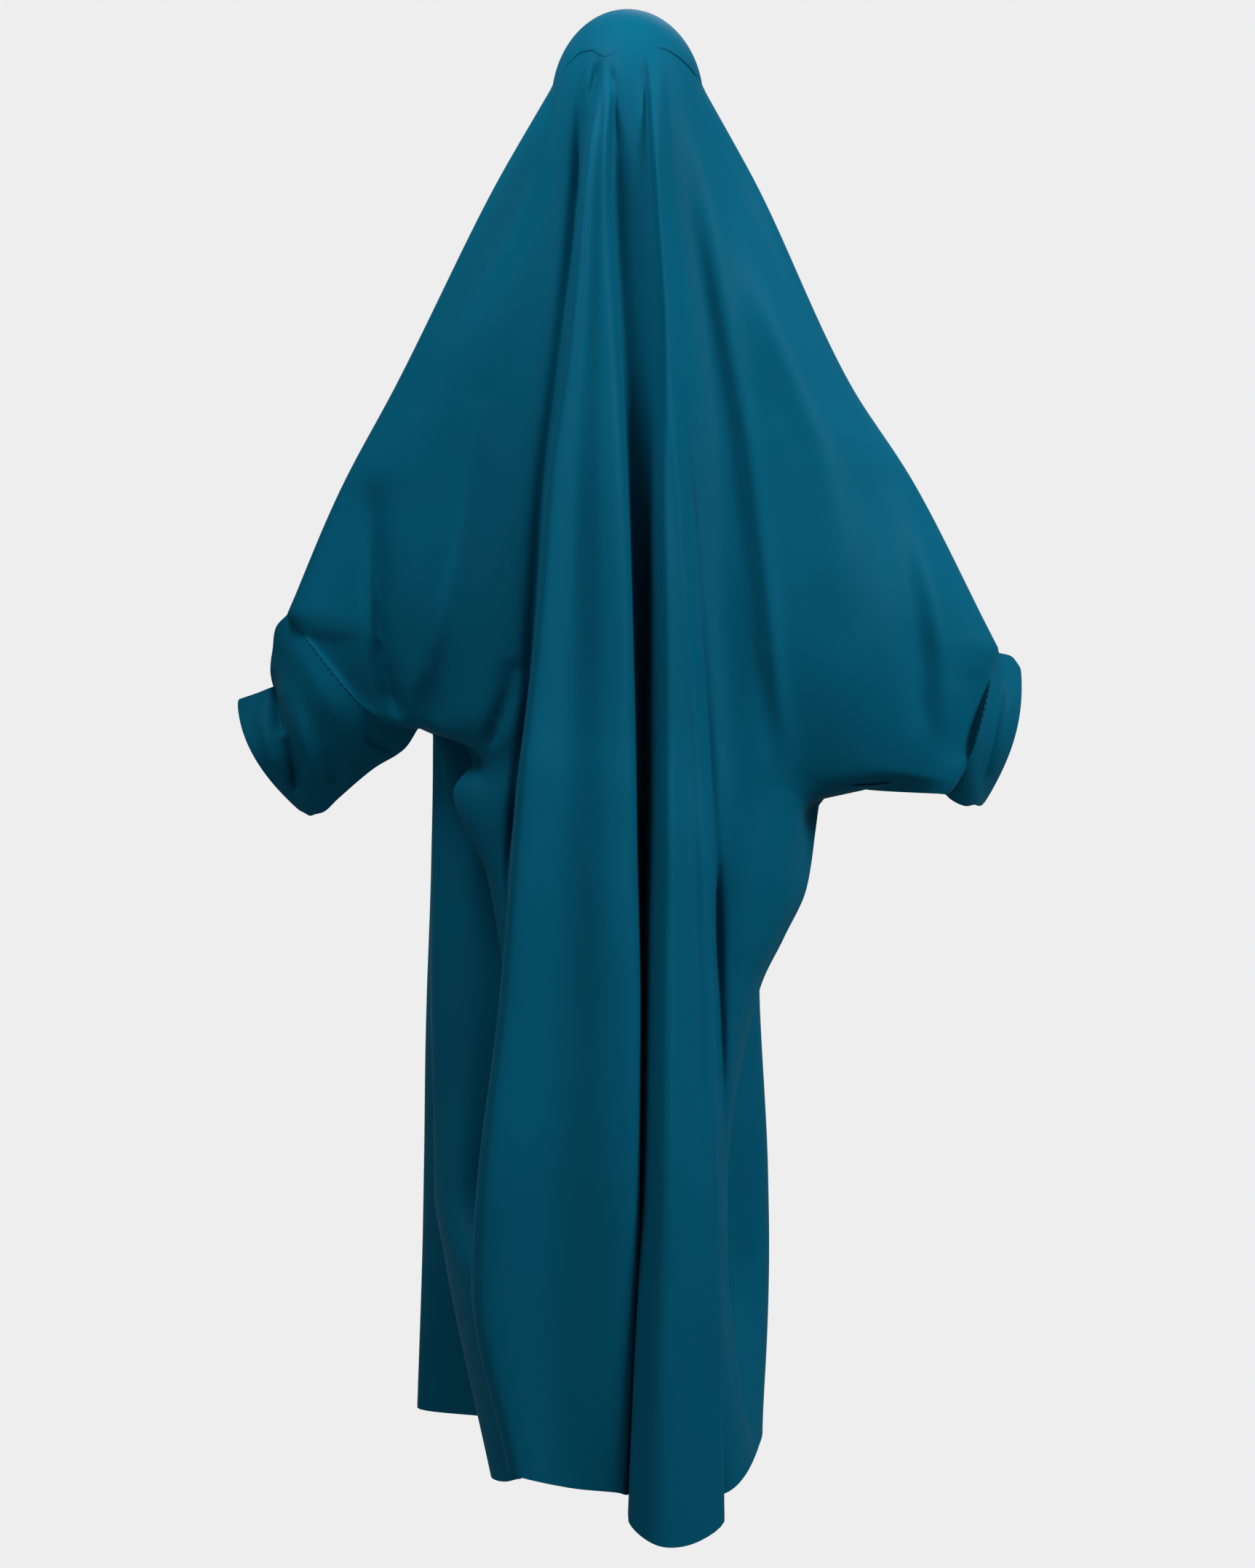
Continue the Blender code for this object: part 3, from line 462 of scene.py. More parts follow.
def fold(grid, path, side):
    """Raises the cloth along a path, or sinks it where the rise is negative, fading at
    both ends. The path is seen from behind or from ahead, as side says."""
    path = np.array(path) * (HALF_SPAN, -HEM_DROP, 1.0, 1.0)
    legs = np.diff(path, axis=0)
    lengths = np.linalg.norm(legs[:, :2], axis=1)
    seen = grid[..., (0, 2)]
    nearest = np.full(seen.shape[:2], np.inf)
    along, width, rise = np.zeros((3,) + seen.shape[:2])
    for start, leg, length, before in zip(path, legs, lengths, np.cumsum(lengths) - lengths):
        t = np.clip(((seen - start[:2]) @ leg[:2]) / length ** 2, 0.0, 1.0)
        gap = np.linalg.norm(seen - start[:2] - t[..., None] * leg[:2], axis=-1)
        closer = gap < nearest
        nearest = np.where(closer, gap, nearest)
        along = np.where(closer, (before + t * length) / lengths.sum(), along)
        width = np.where(closer, start[2] + t * leg[2], width)
        rise = np.where(closer, start[3] + t * leg[3], rise)
    fade = np.clip(along / FADE_SHARE, 0, 1) * np.clip((1 - along) / FADE_SHARE, 0, 1)
    fade = fade * fade * (3 - 2 * fade)
    grid[..., 1] += side * rise * fade * np.exp(-(nearest / width) ** 2)


def sway(grid, offset):
    """Slow, uneven swells that no sewn cloth hangs without, longer down than across."""
    for row in grid:
        for point in row:
            across, deep, up = point / SWAY_SIZE
            point[1] += SWAY_DEPTH * noise.noise(Vector((across + offset, deep, up / 3)))


def cloth_sheet(name, grid, closed=False):
    """A wall of crepe on a grid of points, with the cloth's own lengths as its UV map."""
    rows, columns = grid.shape[:2]
    faces = [(i * columns + j, (i + 1) * columns + j,
              (i + 1) * columns + (j + 1) % columns, i * columns + (j + 1) % columns)
             for i in range(rows - 1) for j in range(columns if closed else columns - 1)]
    mesh = bpy.data.meshes.new(name)
    mesh.from_pydata([tuple(point) for row in grid for point in row], [], faces)
    mesh.shade_smooth()
    down = np.zeros((rows, columns))
    down[1:] = np.cumsum(np.linalg.norm(np.diff(grid, axis=0), axis=2), axis=0)
    across = np.zeros((rows, columns))
    across[:, 1:] = np.cumsum(np.linalg.norm(np.diff(grid, axis=1), axis=2), axis=1)
    across -= across[:, columns // 2:columns // 2 + 1]
    layer = mesh.uv_layers.new(name="cut")
    places = np.array([(across.flat[loop.vertex_index], down.flat[loop.vertex_index])
                       for loop in mesh.loops], dtype=np.float32)
    layer.data.foreach_set("uv", places.ravel())
    sheet = bpy.data.objects.new(name, mesh)
    bpy.context.scene.collection.objects.link(sheet)
    wall = sheet.modifiers.new("Wall", "SOLIDIFY")
    wall.thickness = CLOTH
    wall.offset = 0.0
    with bpy.context.temp_override(object=sheet, active_object=sheet):
        bpy.ops.object.modifier_apply(modifier="Wall")
    sheet.data.set_sharp_from_angle(angle=math.radians(SHARP_ANGLE))
    return sheet


# Smaller folds on the back, from their top to their bottom. Each step is (across, down,
# half width, rise), in shares of HALF_SPAN and of HEM_DROP and in metres.
BACK_FOLDS = {
    "left_arm_valley": (
        (-0.628, 0.324, 0.013, -0.003), (-0.628, 0.364, 0.012, -0.007),
        (-0.620, 0.393, 0.011, -0.011), (-0.614, 0.423, 0.01, -0.015),
        (-0.607, 0.453, 0.01, -0.019), (-0.588, 0.477, 0.01, -0.020),
        (-0.565, 0.495, 0.0095, -0.017), (-0.540, 0.503, 0.008, -0.009)),
    "left_arm_ridge": (
        (-0.363, 0.262, 0.018, 0.002), (-0.384, 0.314, 0.018, 0.005),
        (-0.411, 0.354, 0.017, 0.008), (-0.443, 0.398, 0.016, 0.010),
        (-0.482, 0.443, 0.015, 0.011), (-0.514, 0.473, 0.013, 0.011),
        (-0.535, 0.495, 0.011, 0.006)),
    "pouch_crease": (
        (-0.273, 0.453, 0.01, -0.003), (-0.287, 0.477, 0.009, -0.007),
        (-0.305, 0.492, 0.008, -0.010), (-0.326, 0.506, 0.008, -0.010),
        (-0.351, 0.518, 0.007, -0.006)),
    "right_ridge": (
        (0.161, 0.121, 0.011, 0.002), (0.205, 0.161, 0.011, 0.004),
        (0.228, 0.205, 0.011, 0.006), (0.262, 0.260, 0.011, 0.006),
        (0.290, 0.304, 0.011, 0.006), (0.311, 0.354, 0.011, 0.006),
        (0.333, 0.403, 0.011, 0.006), (0.352, 0.453, 0.011, 0.007),
        (0.375, 0.502, 0.011, 0.005), (0.387, 0.544, 0.01, 0.002)),
    "right_groove": (
        (0.128, 0.126, 0.011, -0.001), (0.158, 0.170, 0.011, -0.002),
        (0.186, 0.215, 0.012, -0.003), (0.207, 0.265, 0.013, -0.003),
        (0.225, 0.324, 0.014, -0.002), (0.237, 0.383, 0.014, -0.002),
        (0.248, 0.443, 0.015, -0.002), (0.260, 0.502, 0.015, -0.002),
        (0.278, 0.542, 0.014, -0.001)),
    "right_broad_ridge": (
        (0.137, 0.071, 0.014, 0.002), (0.217, 0.126, 0.018, 0.005),
        (0.287, 0.170, 0.02, 0.007), (0.349, 0.215, 0.02, 0.008),
        (0.420, 0.260, 0.022, 0.008), (0.501, 0.309, 0.026, 0.007),
        (0.526, 0.373, 0.028, 0.006), (0.508, 0.443, 0.026, 0.004)),
    "right_outer_valley": (
        (0.243, 0.106, 0.012, -0.001), (0.331, 0.165, 0.012, -0.004),
        (0.406, 0.217, 0.012, -0.006), (0.476, 0.265, 0.013, -0.005),
        (0.561, 0.304, 0.014, -0.002)),
    "right_arm_valley": (
        (0.605, 0.304, 0.02, -0.002), (0.658, 0.373, 0.018, -0.006),
        (0.689, 0.413, 0.016, -0.009), (0.710, 0.453, 0.015, -0.010),
        (0.717, 0.492, 0.014, -0.007), (0.710, 0.520, 0.013, -0.002)),
    "right_arm_ridge": (
        (0.706, 0.354, 0.014, 0.002), (0.749, 0.403, 0.013, 0.007),
        (0.777, 0.448, 0.013, 0.010), (0.784, 0.482, 0.013, 0.009),
        (0.773, 0.517, 0.012, 0.003)),
    "left_pleat_head": (
        (-0.073, 0.041, 0.006, -0.003), (-0.076, 0.053, 0.006, -0.010),
        (-0.083, 0.068, 0.0065, -0.013), (-0.092, 0.087, 0.007, -0.010),
        (-0.105, 0.117, 0.007, -0.005), (-0.117, 0.148, 0.007, -0.001)),
    "middle_pleat_head": (
        (-0.043, 0.047, 0.0045, -0.002), (-0.038, 0.060, 0.0045, -0.006),
        (-0.033, 0.079, 0.0045, -0.004), (-0.027, 0.110, 0.005, -0.001)),
    "right_pleat_head": (
        (0.036, 0.039, 0.006, -0.002), (0.042, 0.052, 0.006, -0.007),
        (0.048, 0.078, 0.006, -0.007), (0.057, 0.123, 0.006, -0.002),
        (0.066, 0.173, 0.006, -0.001)),
    "right_pleat_edge": (
        (0.094, 0.223, 0.0075, 0.001), (0.111, 0.287, 0.0075, 0.006),
        (0.128, 0.347, 0.0075, 0.008), (0.148, 0.430, 0.0075, 0.008),
        (0.169, 0.503, 0.0075, 0.009), (0.188, 0.600, 0.0075, 0.010),
        (0.207, 0.746, 0.0075, 0.009), (0.217, 0.852, 0.0075, 0.001)),
    "right_pleat_step": (
        (0.115, 0.222, 0.0065, -0.001), (0.132, 0.287, 0.0065, -0.007),
        (0.149, 0.346, 0.0065, -0.010), (0.170, 0.430, 0.0065, -0.010),
        (0.190, 0.503, 0.0065, -0.011), (0.209, 0.600, 0.0065, -0.012),
        (0.228, 0.746, 0.0065, -0.011), (0.238, 0.852, 0.0065, -0.001)),
}

# The crown seam runs over the hood from temple to temple, a point for every column
crown_seam = []
back_rows = list(BACK_LINES.values())
for row, after, parts in zip(back_rows, back_rows[1:], COLUMNS_OF_BACK):
    for part in range(parts):
        share = part / parts
        crown_seam.append((row["turn"] + share * (after["turn"] - row["turn"]),
                           row["tilt"] + share * (after["tilt"] - row["tilt"])))
crown_seam.append((back_rows[-1]["turn"], back_rows[-1]["tilt"]))

back_lines = [down_line(line_points(row, dome_point(row["turn"], row["tilt"])), row["arm"],
                        BEHIND, dome_slope(row["turn"], row["tilt"]))
              for row in back_rows]
back_grid = curve_across(back_lines, COLUMNS_OF_BACK)
back_grid[0] = [dome_point(turn, tilt) for turn, tilt in crown_seam]
back_edges = back_grid[:, (0, -1)].copy()
for path in BACK_FOLDS.values():
    fold(back_grid, path, BEHIND)
sway(back_grid, 3.0)
back_grid[:, (0, -1)] = back_edges
allowance = sunk([dome_point(turn, tilt - SEAM_ALLOWANCE) for turn, tilt in crown_seam],
                 CLOTH / 2)
back_cloth = cloth_sheet("back_cloth", np.concatenate((allowance[None], back_grid)))
back_cloth.data.materials.append(crepe)
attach(back_cloth, "root")
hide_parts("back_panel")

# Hood cap. A smooth piece of the same crepe over the crown, sewn to the pleated edge of
# the back; its other edge frames the brow. Its rim is pressed a little into the seam.

BROW_TILT = 26.0         # degrees above the temples at which the cap's front edge lies
END_TILT = 128.0         # the seam ends beside the temples at this tilt
CAP_ROWS = 70
cap_stations = [(turn, tilt) for turn, tilt in crown_seam if tilt >= END_TILT]
cap_grid = np.array([[dome_point(turn, tilt + i / CAP_ROWS * (BROW_TILT - tilt))
                      for turn, tilt in cap_stations] for i in range(CAP_ROWS + 1)])
cap_grid[0] = sunk(cap_grid[0], CLOTH / 3)
cap_cloth = cloth_sheet("cap_cloth", cap_grid)
cap_cloth.data.materials.append(crepe)
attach(cap_cloth, "root")
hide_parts("hood_cap")

# Front panel. It hangs below the chin and closes the drape at the sides; at the left
# it laps round behind the arm, where its folded edge shows beside the pleats.

FACE_DROP = 0.238        # from the crown down to the edge below the chin
CHIN_REACH = 0.112       # how far forward that edge lies
CHIN_FULLNESS = 0.8      # for both: 1 is a plain arch; a smaller number widens its ends
CHEEK_FULLNESS = 0.8
TEMPLE_SHARE = 0.08      # share of the front panel's top edge sewn to the cap at each end
TEMPLE_TURN = 12.0       # the temples' place on the dome, in degrees from its poles
COLUMNS_OF_FRONT = (10, 12, 12, 12, 12, 12, 12, 10, 8, 8, 5)

# Drape lines of the front panel between the two seams, from right to left.
# face: the line's place on the edge of the face opening, from 0 at the right
# temple over 0.5 below the chin to 1 at the left temple.
FRONT_LINES = {
    "side_right": dict(
        face=0.10, hem=0.993, arm=0.6,
        across=(0.255, 0.475, 0.618, 0.790, 0.710, 0.455,
                0.420, 0.405, 0.362, 0.331, 0.351, 0.353, 0.335),
        depth=(0.26, 0.22, 0.21, 0.20, 0.16, 0.12,
               0.15, 0.16, 0.19, 0.20, 0.20, 0.20, -0.04)),
    "front_right_side": dict(
        face=0.22, hem=0.990, arm=0.1,
        across=(0.200, 0.365, 0.467, 0.560, 0.545, 0.400,
                0.330, 0.312, 0.297, 0.290, 0.310, 0.315, 0.300),
        depth=(0.40, 0.40, 0.42, 0.46, 0.44, 0.38,
               0.41, 0.44, 0.48, 0.52, 0.56, 0.58, 0.50)),
    "front_right": dict(
        face=0.36, hem=0.990, arm=0.0,
        across=(0.110, 0.190, 0.233, 0.270, 0.270, 0.240,
                0.208, 0.192, 0.178, 0.170, 0.180, 0.185, 0.180),
        depth=(0.48, 0.54, 0.58, 0.62, 0.62, 0.60,
               0.61, 0.62, 0.65, 0.68, 0.72, 0.74, 0.80)),
    "front_middle": dict(
        face=0.50, hem=0.990, arm=0.0,
        across=(0.000, 0.000, 0.000, 0.000, 0.000, 0.000,
                0.000, 0.000, 0.000, 0.000, 0.000, 0.000, -0.020),
        depth=(0.52, 0.56, 0.59, 0.62, 0.62, 0.62,
               0.62, 0.62, 0.62, 0.62, 0.64, 0.66, 0.70)),
    "front_left": dict(
        face=0.64, hem=0.990, arm=0.0,
        across=(-0.110, -0.190, -0.233, -0.270, -0.270, -0.250,
                -0.243, -0.232, -0.225, -0.220, -0.230, -0.240, -0.250),
        depth=(0.48, 0.54, 0.58, 0.62, 0.62, 0.62,
               0.62, 0.63, 0.65, 0.70, 0.76, 0.78, 0.86)),
    "front_left_side": dict(
        face=0.78, hem=0.992, arm=0.1,
        across=(-0.200, -0.365, -0.467, -0.560, -0.440, -0.420,
                -0.420, -0.420, -0.420, -0.420, -0.430, -0.440, -0.460),
        depth=(0.40, 0.40, 0.42, 0.46, 0.42, 0.40,
               0.40, 0.41, 0.45, 0.52, 0.60, 0.64, 0.76)),
    "side_left": dict(
        face=0.86, hem=0.996, arm=0.4,
        across=(-0.245, -0.480, -0.612, -0.730, -0.490, -0.484,
                -0.484, -0.485, -0.490, -0.503, -0.519, -0.525, -0.546),
        depth=(0.28, 0.26, 0.26, 0.26, 0.22, 0.16,
               0.16, 0.14, 0.13, 0.12, 0.32, 0.40, 0.60)),
    "tuck_left": dict(
        face=0.92, hem=0.998, arm=0.6,
        across=(-0.265, -0.515, -0.656, -0.780, -0.500, -0.487,
                -0.487, -0.487, -0.489, -0.492, -0.453, -0.408, -0.293),
        depth=(0.23, 0.19, 0.18, 0.16, 0.15, 0.09,
               0.09, 0.05, 0.03, 0.02, 0.08, 0.12, 0.32)),
    "lap_left_edge": dict(
        face=0.96, hem=1.009, arm=0.8,
        across=(-0.281, -0.538, -0.682, -0.812, -0.510, -0.486,
                -0.486, -0.481, -0.479, -0.478, -0.479, -0.446, -0.327),
        depth=(0.20, 0.14, 0.11, 0.08, 0.08, 0.05,
               0.05, 0.00, -0.03, -0.08, -0.12, -0.24, -0.52)),
    "lap_left": dict(
        face=0.98, hem=1.008, arm=0.9,
        across=(-0.305, -0.555, -0.696, -0.832, -0.517, -0.485,
                -0.481, -0.440, -0.416, -0.390, -0.418, -0.405, -0.291),
        depth=(0.17, 0.11, 0.07, 0.03, 0.04, 0.02,
               0.01, -0.04, -0.09, -0.18, -0.30, -0.48, -0.64)),
}


# Soft folds that fan out below the chin
FRONT_FOLDS = {
    "middle": (
        (0.02, 0.230, 0.02, 0.003), (0.04, 0.500, 0.032, 0.009), (0.05, 0.820, 0.036, 0.011),
        (0.05, 0.990, 0.036, 0.011)),
    "left": (
        (-0.14, 0.250, 0.018, 0.002), (-0.26, 0.480, 0.03, 0.008),
        (-0.31, 0.780, 0.034, 0.010), (-0.31, 0.985, 0.034, 0.010)),
    "right": (
        (0.18, 0.250, 0.018, 0.002), (0.29, 0.480, 0.03, 0.008), (0.28, 0.780, 0.034, 0.010),
        (0.24, 0.985, 0.034, 0.010)),
}


def face_point(share):
    """A point of the front panel's top edge, from the right temple under the chin."""
    if share < TEMPLE_SHARE:
        tilt = 90.0 - (90.0 - BROW_TILT) * share / TEMPLE_SHARE
        return dome_point(180.0 - TEMPLE_TURN, tilt)
    if share > 1.0 - TEMPLE_SHARE:
        return face_point(1.0 - share) * (-1.0, 1.0, 1.0)
    brow = dome_point(180.0 - TEMPLE_TURN, BROW_TILT)
    around = (share - TEMPLE_SHARE) / (1.0 - 2.0 * TEMPLE_SHARE)
    dip = max(math.sin(math.pi * around), 0.0)
    return np.array((
        brow[0] * math.copysign(abs(math.cos(math.pi * around)) ** CHEEK_FULLNESS, 0.5 - around),
        brow[1] + (CHIN_REACH - brow[1]) * dip ** CHIN_FULLNESS,
        brow[2] - (FACE_DROP + brow[2]) * dip))


seam_lines = {
    name: down_line(line_points(seam, dome_point(seam["turn"], seam["tilt"])), seam["arm"], AHEAD)
    for name, seam in BACK_LINES.items() if name.startswith("seam")}
front_lines = [down_line(line_points(row, face_point(row["face"])), row["arm"], AHEAD)
               for row in FRONT_LINES.values()]
front_lines = [seam_lines["seam_right"]] + front_lines + [seam_lines["seam_left"]]
front_grid = curve_across(front_lines, COLUMNS_OF_FRONT)
front_edges = front_grid[:, (0, -1)].copy()
for path in FRONT_FOLDS.values():
    fold(front_grid, path, AHEAD)
sway(front_grid, 9.0)
front_grid[:, (0, -1)] = front_edges
front_cloth = cloth_sheet("front_cloth", front_grid)
front_cloth.data.materials.append(crepe)
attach(front_cloth, "root")
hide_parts("front_panel")

# Sleeves and cuffs. Short sleeves of the same crepe are sewn into the batwings along
# bowed seams, and a narrow band set off by a deep fold ends each of them.

# For each ring from the armhole out to the cuff's edge: top and bottom, in shares of
# HALF_SPAN across and of HEM_DROP down; depth, its half depth as a share of
# ARMHOLE_HALF_DEPTH; forward, its shift as a share of DRAPE_DEPTH; bow, the share of
# the armhole's bow that is left; swell, how far its middle stands out, in metres.
LEFT_SLEEVE = {
    "bulge": dict(
        top=(-0.879, 0.431), bottom=(-0.560, 0.516),
        depth=1.15, forward=0.03, bow=0.9, swell=0.0),
    "forearm": dict(
        top=(-0.890, 0.446), bottom=(-0.640, 0.530),
        depth=1.15, forward=0.07, bow=0.5, swell=0.0),
    "blouse": dict(
        top=(-0.898, 0.457), bottom=(-0.730, 0.551),
        depth=1.05, forward=0.11, bow=0.2, swell=0.0),
    "turn": dict(
        top=(-0.899, 0.466), bottom=(-0.766, 0.560),
        depth=0.95, forward=0.14, bow=0.0, swell=0.0),
    "joint": dict(
        top=(-0.895, 0.472), bottom=(-0.790, 0.562),
        depth=0.80, forward=0.15, bow=0.0, swell=0.0),
}
LEFT_CUFF = {
    "band": dict(
        top=(-0.930, 0.476), bottom=(-0.804, 0.563),
        depth=0.86, forward=0.18, bow=0.0, swell=0.008),
    "edge": dict(
        top=(-0.985, 0.481), bottom=(-0.822, 0.561),
        depth=0.90, forward=0.21, bow=0.0, swell=0.016),
}
RIGHT_SLEEVE = {
    "bulge": dict(
        top=(0.930, 0.449), bottom=(0.814, 0.552),
        depth=1.00, forward=0.03, bow=0.8, swell=0.0),
    "blouse": dict(
        top=(0.934, 0.449), bottom=(0.850, 0.556),
        depth=1.00, forward=0.08, bow=0.4, swell=0.004),
    "joint": dict(
        top=(0.939, 0.449), bottom=(0.874, 0.555),
        depth=0.84, forward=0.10, bow=0.0, swell=0.006),
}
RIGHT_CUFF = {
    "band": dict(
        top=(0.972, 0.451), bottom=(0.888, 0.556),
        depth=0.92, forward=0.17, bow=0.0, swell=0.010),
    "edge": dict(
        top=(0.994, 0.457), bottom=(0.898, 0.556),
        depth=0.96, forward=0.22, bow=0.0, swell=0.012),
}

# Creases of the sleeves and cuffs
SLEEVE_FOLDS = {
    "left_cuff_pocket": (
        (-0.895, 0.459, 0.006, -0.004), (-0.888, 0.476, 0.007, -0.014),
        (-0.874, 0.496, 0.007, -0.016), (-0.859, 0.509, 0.006, -0.008)),
    "left_cuff_roll": (
        (-0.933, 0.481, 0.008, 0.002), (-0.913, 0.501, 0.008, 0.006),
        (-0.888, 0.524, 0.008, 0.007), (-0.856, 0.549, 0.007, 0.003)),
    "left_sleeve_crease": (
        (-0.863, 0.504, 0.006, -0.006), (-0.845, 0.519, 0.006, -0.014),
        (-0.834, 0.534, 0.006, -0.014), (-0.830, 0.549, 0.006, -0.006)),
    "left_sleeve_roll": (
        (-0.861, 0.466, 0.012, 0.002), (-0.830, 0.494, 0.013, 0.006),
        (-0.801, 0.522, 0.013, 0.007), (-0.791, 0.547, 0.01, 0.003)),
    "left_sleeve_soft": (
        (-0.769, 0.517, 0.01, -0.001), (-0.740, 0.528, 0.009, -0.005),
        (-0.722, 0.542, 0.009, -0.004)),
    "left_underarm": (
        (-0.657, 0.507, 0.005, -0.003), (-0.618, 0.514, 0.005, -0.009),
        (-0.572, 0.520, 0.005, -0.006)),
    "right_cuff_groove": (
        (0.929, 0.453, 0.008, -0.002), (0.926, 0.479, 0.008, -0.006),
        (0.908, 0.501, 0.008, -0.007), (0.886, 0.527, 0.008, -0.006),
        (0.879, 0.549, 0.007, -0.002)),
    "right_cuff_roll": (
        (0.966, 0.466, 0.009, 0.002), (0.960, 0.486, 0.009, 0.005),
        (0.933, 0.517, 0.009, 0.006), (0.908, 0.539, 0.008, 0.002)),
}

SLEEVE_COLUMNS = 48      # half of the mesh columns round a sleeve
SLEEVE_PARTS = 12        # mesh rows between two rings
SWELL_FULLNESS = 0.7     # 1 is a plain arch; a smaller number widens its ends


def tube_grid(rings):
    """A tube through rings, each a lens from its top down the back and up the front."""
    shares = [i / SLEEVE_COLUMNS for i in range(SLEEVE_COLUMNS + 1)]
    walk = [(share, BEHIND) for share in shares] + [(share, AHEAD) for share in shares[-2:0:-1]]
    stations = []
    for top, bottom, depth, forward, bow, swell in rings:
        ring = []
        for share, side in walk:
            point = top + share * (bottom - top)
            point = point + bow * bow_offset(point[0], share)
            arch = math.sin(math.pi * share) ** SWELL_FULLNESS
            point[0] += math.copysign(swell * arch, top[0])
            point[1] = forward + side * depth * lens_bulge(share)
            ring.append(point)
        stations.append(np.array(ring))
    return curve_across(stations, (SLEEVE_PARTS,) * (len(rings) - 1)).transpose(1, 0, 2)


def sleeve_rings(rows):
    """Top, bottom, half depth, forward shift, bow and swell of every ring in a table."""
    return [(np.array((HALF_SPAN * row["top"][0], 0.0, -HEM_DROP * row["top"][1])),
             np.array((HALF_SPAN * row["bottom"][0], 0.0, -HEM_DROP * row["bottom"][1])),
             ARMHOLE_HALF_DEPTH * row["depth"], DRAPE_DEPTH * row["forward"],
             row["bow"], row["swell"])
            for row in rows]


for side, sleeve_table, cuff_table, sleeve_flat, cuff_flat in (
        ("left", LEFT_SLEEVE, LEFT_CUFF, (0.44, 0.10), (0.38, 0.040)),
        ("right", RIGHT_SLEEVE, RIGHT_CUFF, (0.42, 0.034), (0.40, 0.036))):
    seam = BACK_LINES["seam_" + side]
    sleeve_rows = list(sleeve_table.values())
    cuff_rows = list(cuff_table.values())
    hang = line_points(seam, dome_point(seam["turn"], seam["tilt"]))
    armhole = (hang[ELBOW], hang[FOOT], ARMHOLE_HALF_DEPTH, 0.0, 1.0, 0.0)
    for part, rings, flat in (
            ("sleeve", [armhole] + sleeve_rings(sleeve_rows), sleeve_flat),
            ("cuff", sleeve_rings(sleeve_rows[-1:] + cuff_rows), cuff_flat)):
        grid = tube_grid(rings)
        sewn = grid[0].copy()
        for path in SLEEVE_FOLDS.values():
            fold(grid, path, BEHIND)
        if part == "sleeve":
            grid[0] = sewn
        tube = cloth_sheet(side + "_" + part + "_cloth", grid, closed=True)
        tube.data.materials.append(crepe)
        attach(tube, "root")
        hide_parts(side + "_" + part)

# Stitches. Fine darker threads show along both sleeve seams and down the foot of the
# left side seam, where it comes round to the back.

THREAD_COLOUR = (0.0003, 0.0300, 0.0500, 1.0)
STITCH = 0.0042          # length of one stitch
STITCH_GAP = 0.0032
THREAD_RADIUS = 0.00045
THREAD_SIDES = 6
STITCH_TAPER = ((0.0, 0.4), (0.2, 1.0), (0.8, 1.0), (1.0, 0.4))    # thickness along a stitch
thread = bpy.data.materials.new("thread")
thread.use_nodes = True
shader = thread.node_tree.nodes["Principled BSDF"]
shader.inputs["Base Color"].default_value = THREAD_COLOUR
shader.inputs["Roughness"].default_value = 0.7
shader.inputs["Specular IOR Level"].default_value = 0.1


def stitch_row(name, path):
    """Short tapered threads along a path of points on the back of the cloth."""
    path = np.array(path) - (0.0, CLOTH / 2 + THREAD_RADIUS / 3, 0.0)
    lengths = np.concatenate(((0.0,), np.cumsum(np.linalg.norm(np.diff(path, axis=0), axis=1))))
    vertices, faces = [], []
    for start in np.arange(STITCH, lengths[-1] - 2 * STITCH, STITCH + STITCH_GAP):
        spine = np.array([[np.interp(start + part * STITCH, lengths, path[:, axis])
                           for axis in range(3)] for part, _ in STITCH_TAPER])
        along = spine[-1] - spine[0]
        along /= np.linalg.norm(along)
        side = np.cross(along, (0.0, 1.0, 0.0))
        side /= np.linalg.norm(side)
        up = np.cross(side, along)
        first = len(vertices)
        for centre, (_, size) in zip(spine, STITCH_TAPER):
            for corner in range(THREAD_SIDES):
                turn = 2 * math.pi / THREAD_SIDES * corner
                outwards = math.cos(turn) * side + math.sin(turn) * up
                vertices.append(tuple(centre + size * THREAD_RADIUS * outwards))
        for ring in range(first, len(vertices) - THREAD_SIDES, THREAD_SIDES):
            for corner in range(THREAD_SIDES):
                after = (corner + 1) % THREAD_SIDES
                faces.append((ring + corner, ring + THREAD_SIDES + corner,
                              ring + THREAD_SIDES + after, ring + after))
        faces.append(tuple(range(first, first + THREAD_SIDES)))
        faces.append(tuple(reversed(range(len(vertices) - THREAD_SIDES, len(vertices)))))
    mesh = bpy.data.meshes.new(name)
    mesh.from_pydata(vertices, [], faces)
    mesh.shade_smooth()
    mesh.materials.append(thread)
    stitches = bpy.data.objects.new(name, mesh)
    bpy.context.scene.collection.objects.link(stitches)
    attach(stitches, "root")


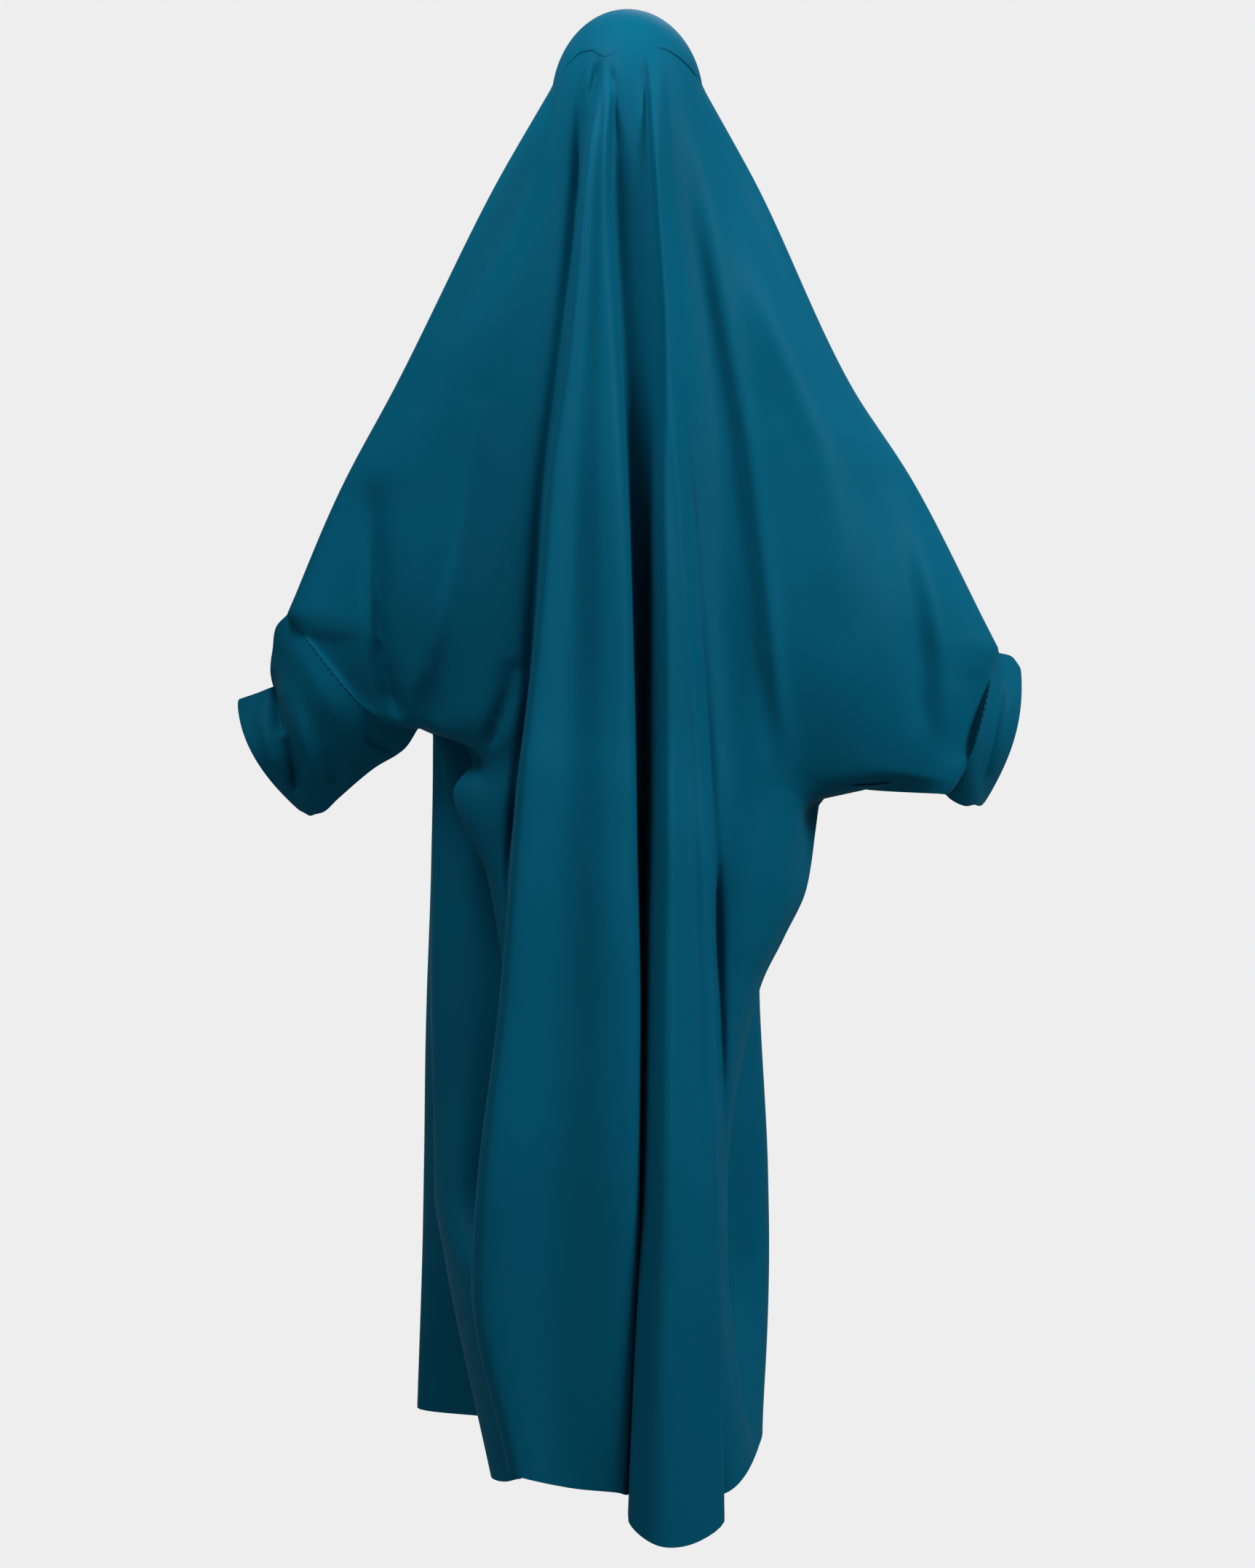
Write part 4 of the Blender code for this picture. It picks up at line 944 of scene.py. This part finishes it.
SIDE_SEAM_COLUMN = 58    # the back panel's mesh column that carries the left side seam
SIDE_SEAM_ROWS = slice(-40, -2)
sleeve_seam_rows = slice(sum(ROWS_BETWEEN_LEVELS[:ELBOW]) + 1, sum(ROWS_BETWEEN_LEVELS[:FOOT]))
stitch_row("left_sleeve_stitches", back_grid[sleeve_seam_rows, 0])
stitch_row("right_sleeve_stitches", back_grid[sleeve_seam_rows, -1])
stitch_row("side_seam_stitches", back_grid[SIDE_SEAM_ROWS, SIDE_SEAM_COLUMN])

# Stage. A plain pale backdrop lights the cloth softly from all round. The main lamp
# stands high on the right; weaker ones light the hood, the left side and the front.

world = bpy.data.worlds.new("backdrop")
bpy.context.scene.world = world
world.use_nodes = True
sky = world.node_tree.nodes["Background"]
sky.inputs["Color"].default_value = (0.855, 0.855, 0.855, 1.0)
rays = world.node_tree.nodes.new("ShaderNodeLightPath")
dimmer = world.node_tree.nodes.new("ShaderNodeMapRange")
dimmer.inputs["To Min"].default_value = 0.22
dimmer.inputs["To Max"].default_value = 1.0
world.node_tree.links.new(rays.outputs["Is Camera Ray"], dimmer.inputs["Value"])
world.node_tree.links.new(dimmer.outputs["Result"], sky.inputs["Strength"])


DRAPE_MIDDLE = Vector((0.0, 0.0, -0.8))


def lamp(name, place, size, power):
    """A wide square lamp aimed at the middle of the drape."""
    data = bpy.data.lights.new(name, "AREA")
    data.size = size
    data.energy = power
    light = bpy.data.objects.new(name, data)
    light.location = place
    aim = DRAPE_MIDDLE - Vector(place)
    light.rotation_euler = aim.to_track_quat("-Z", "Y").to_euler()
    bpy.context.scene.collection.objects.link(light)


lamp("key", (2.4, -1.5, 1.2), 0.8, 106.0)
lamp("top", (-0.9, -1.0, 1.7), 0.8, 16.0)
lamp("fill", (-1.8, -2.8, -1.5), 1.4, 11.0)
lamp("crown", (-0.42, -0.50, 0.46), 0.35, 6.5)
lamp("front", (0.5, 2.6, 2.0), 1.2, 26.0)

camera = bpy.data.objects.new("camera", bpy.data.cameras.new("camera"))
camera.data.lens = 74.2
camera.data.sensor_width = 36.0
camera.data.sensor_fit = "AUTO"
camera.location = (0.0, -3.6, -0.86)
camera.rotation_euler = (math.radians(90.0), 0.0, 0.0)
bpy.context.scene.collection.objects.link(camera)
bpy.context.scene.camera = camera
bpy.context.scene.render.engine = "CYCLES"
bpy.context.scene.cycles.samples = 256
bpy.context.scene.view_settings.view_transform = "Standard"
